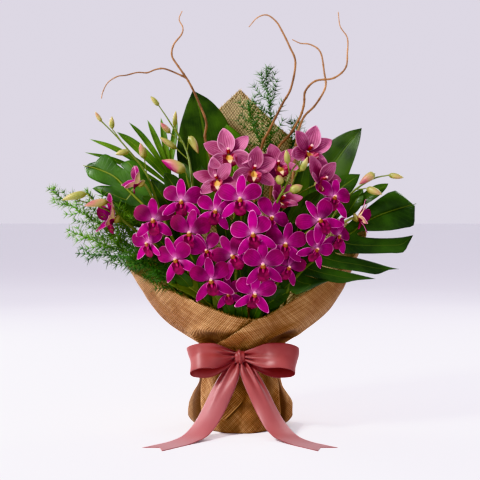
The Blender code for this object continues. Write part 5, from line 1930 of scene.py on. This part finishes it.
def make_fern(name, facts):
    """A fern spray: its stalk, its needled stem, and side shoots that shorten to the tip."""
    shape = new_shape()
    main = stem_line(facts["slot"], facts["knots"], 8)
    split = round(facts["bare"] * (len(main) - 1))
    add_tube(shape, main[:split + 1], [(0, 1.8), (1, 1.2)], 6)
    plumes = [main[split:]] + [smooth_line(points(shoot), 8) for shoot in facts.get("shoots", [])]
    for plume in plumes:
        spine = evenly(plume, SIDE_STEP)
        add_fern_shoot(shape, spine, 0.9, MAIN_NEEDLE)
        turn = seeded.uniform(0, 6)
        last = len(spine) - 1
        for k in range(1, last - 1):
            along = tangent_at(spine, k)
            turn += SIDE_TURN
            arm = Matrix.Rotation(turn, 3, along) @ along.orthogonal().normalized()
            arm = Vector((arm.x, arm.y * SIDE_FLAT, arm.z)).normalized()
            long = facts["reach"] * (1 - k / last) ** 0.7 + SIDE_SHORTEST
            long *= seeded.uniform(0.75, 1.15)
            middle = spine[k] + (arm * 0.75 + along * 0.5) * long * 0.5 * MM
            end = spine[k] + (arm * 0.62 + along * 0.78) * long * MM
            add_fern_shoot(shape, smooth_line([spine[k], middle, end], 5), 0.6, SIDE_NEEDLE)
    make_piece(name + "_needles", shape, facts["finish"], "fern_green", name)


FERNS = {
    "fern_spray_1": dict(
        slot=(-2, 2), bare=0.5, finish=pale_fern, reach=34,
        knots=[(-92, 10, 200), (-148, -24, 262), (-196, -44, 300), (-246, -54, 334),
               (-290, -54, 366)],
        shoots=[[(-196, -44, 300), (-208, -40, 330), (-236, -36, 366)],
                [(-150, -26, 264), (-160, -50, 286), (-172, -62, 308), (-186, -64, 330)]],
    ),
    "fern_spray_2": dict(
        slot=(-3, 0), bare=0.5, finish=pale_fern, reach=32,
        knots=[(-94, -22, 200), (-146, -48, 256), (-198, -62, 278), (-260, -66, 304)],
        shoots=[[(-140, -45, 250), (-154, -62, 284), (-172, -66, 312), (-190, -66, 336)],
                [(-172, -56, 267), (-192, -68, 292), (-214, -70, 318)]],
    ),
    "fern_spray_3": dict(
        slot=(-2, -2), bare=0.62, finish=deep_fern, reach=28,
        knots=[(-74, -52, 204), (-116, -65, 248), (-160, -72, 261), (-244, -80, 268)],
        shoots=[[(-96, -60, 228), (-112, -84, 250), (-138, -92, 272), (-160, -90, 292)],
                [(-104, -62, 238), (-128, -86, 246), (-150, -92, 256), (-176, -90, 264)],
                [(-90, -58, 222), (-98, -84, 236), (-108, -94, 256), (-116, -96, 284)],
                [(-86, -56, 216), (-100, -84, 224), (-122, -92, 236), (-140, -90, 242)]],
    ),
    "fern_spray_4": dict(
        slot=(1, 2), bare=0.5, finish=deep_fern, reach=38,
        knots=[(24, 40, 260), (38, 52, 380), (50, 60, 460), (44, 62, 520), (42, 64, 562)],
        shoots=[[(42, 56, 420), (20, 58, 470), (12, 60, 510)]],
    ),
    "fern_spray_5": dict(
        slot=(0, 3), bare=0.7, finish=deep_fern, reach=26,
        knots=[(40, 66, 260), (60, 82, 360), (66, 84, 400), (92, 80, 452), (88, 80, 480)],
    ),
}
for fern_name, facts in FERNS.items():
    make_fern(fern_name, facts)

# %% [markdown]
# ## Curly willow
# Curly willow is a garden twig that bends this way and that. Its bark is brown with fine
# lines along it, which are noise drawn out in height, and it pales towards the tip.

# %% Bark finish
bark = Finish("willow bark")
bark_lines = bark.cloud(500, 3, (1, 1, 0.15))
bark_cloud = bark.cloud(40, 3)
bark_colour = bark.mix(bark_cloud.ease(0.3, 0.7), shade(92, 58, 32), shade(152, 108, 66))
bark_colour = bark.mix(bark_lines * 0.4, bark_colour, shade(76, 46, 24))
bark_finish = bark.surface({
    "Base Color": bark.mix(bark.painted("tint") * 0.6, bark_colour, shade(196, 150, 108)),
    "Roughness": 0.7,
    "Normal": bark.bump(bark_lines, 0.0003, 0.7),
})
print("bark is ready")

# %% [markdown]
# A twig thickens a little at each node. The knuckles could be small rings set on it, but it
# is simpler to let the tube's own radius swell there. Its line is traced through many knots,
# since the curls are what makes this twig.

# %% Twigs
NODE_PITCH = 26
NODE_WIDE = 1.8
NODE_SWELL = 0.3
TWIG_STEPS = 160
TWIG_RADII = [(0, 2.8), (0.35, 1.9), (0.7, 1.4), (1, 0.7)]
FORK_RADII = [(0, 1.4), (1, 0.7)]


def twig_radii(line, radii):
    """The twig's taper with a slight knuckle at every node along it."""
    length = length_of(line) / MM
    knots = []
    for step in range(TWIG_STEPS + 1):
        share = step / TWIG_STEPS
        off = (share * length) % NODE_PITCH - NODE_PITCH / 2
        knots.append((share, eased(radii, share) * (1 + NODE_SWELL * bell(off, NODE_WIDE))))
    return knots


def make_twig(name, facts, pale):
    """A twig, and its fork where it has one. Pale is how light its bark is all along."""
    shape = new_shape()
    main = evenly(stem_line(facts["slot"], facts["main"], 5), 3)
    add_tube(shape, main, twig_radii(main, TWIG_RADII), 8, lambda u, v: max(pale, v**3))
    if "fork" in facts:
        fork = evenly(smooth_line(points(facts["fork"]), 5), 3)
        add_tube(shape, fork, twig_radii(fork, FORK_RADII), 8, lambda u, v: v**3)
    make_piece(name + "_bark", shape, bark_finish, "willow_bark", name)


TWIGS = {
    "willow_twig_left": dict(
        slot=(0, 0),
        main=[(-10, 10, 200), (-30, 16, 300), (-43, 20, 400), (-55, 30, 445), (-53, 34, 470),
              (-64, 36, 500), (-75, 36, 524), (-84, 36, 540), (-98, 34, 560), (-107, 30, 575),
              (-104, 28, 592), (-92, 30, 608), (-90, 34, 620), (-96, 36, 633), (-91, 36, 646)],
        fork=[(-84, 36, 540), (-95, 38, 546), (-119, 42, 556), (-134, 44, 555), (-147, 44, 550),
              (-162, 40, 550), (-180, 36, 545), (-193, 34, 543), (-208, 32, 533),
              (-216, 32, 518), (-218, 32, 508)],
    ),
    "willow_twig_middle": dict(
        slot=(0, 1),
        main=[(20, 8, 220), (22, 10, 330), (32, 16, 424), (48, 22, 462), (67, 26, 500),
              (80, 28, 524), (87, 28, 564), (78, 26, 588), (65, 24, 614), (56, 24, 628),
              (42, 26, 638), (27, 28, 634), (14, 30, 620)],
    ),
    "willow_twig_right": dict(
        slot=(1, 1),
        main=[(44, 14, 220), (46, 26, 330), (56, 34, 420), (79, 36, 452), (95, 36, 480),
              (101, 36, 500), (103, 36, 520), (119, 34, 536), (147, 32, 540), (166, 32, 556),
              (169, 34, 580), (169, 36, 604), (158, 38, 622), (155, 40, 645)],
    ),
    "willow_twig_pale": dict(
        slot=(2, 2),
        main=[(56, 34, 240), (80, 48, 350), (90, 52, 444), (96, 54, 468), (104, 54, 484),
              (120, 54, 500), (136, 54, 528), (134, 54, 552), (128, 54, 584), (112, 54, 596),
              (96, 54, 598), (83, 54, 604)],
    ),
}
for twig_name, facts in TWIGS.items():
    make_twig(twig_name, facts, 0.5 if twig_name == "willow_twig_pale" else 0.0)

# %% [markdown]
# ## Glass and water
# The vase and its water are hidden in the wrap. Finer meshes would show nothing, so their
# plain solids stay and only get a clear finish.


# %% Glass and water
def clear_finish(name, colour, roughness, bending):
    """Something clear: how rough it is, and how much it bends light."""
    clear = Finish(name)
    return clear.surface({
        "Base Color": colour, "Roughness": roughness + clear.cloud(20) * 0.02,
        "Transmission Weight": 1.0, "IOR": bending,
    })


CLEAR = {
    "liner_vase": clear_finish("clear glass", shade(232, 242, 242), 0.04, 1.45),
    "vase_water": clear_finish("clear water", shade(214, 232, 232), 0.02, 1.33),
}
for node, finish in CLEAR.items():
    frame["nodes"][node].material_slots[0].material = finish
print("clear:", ", ".join(CLEAR))
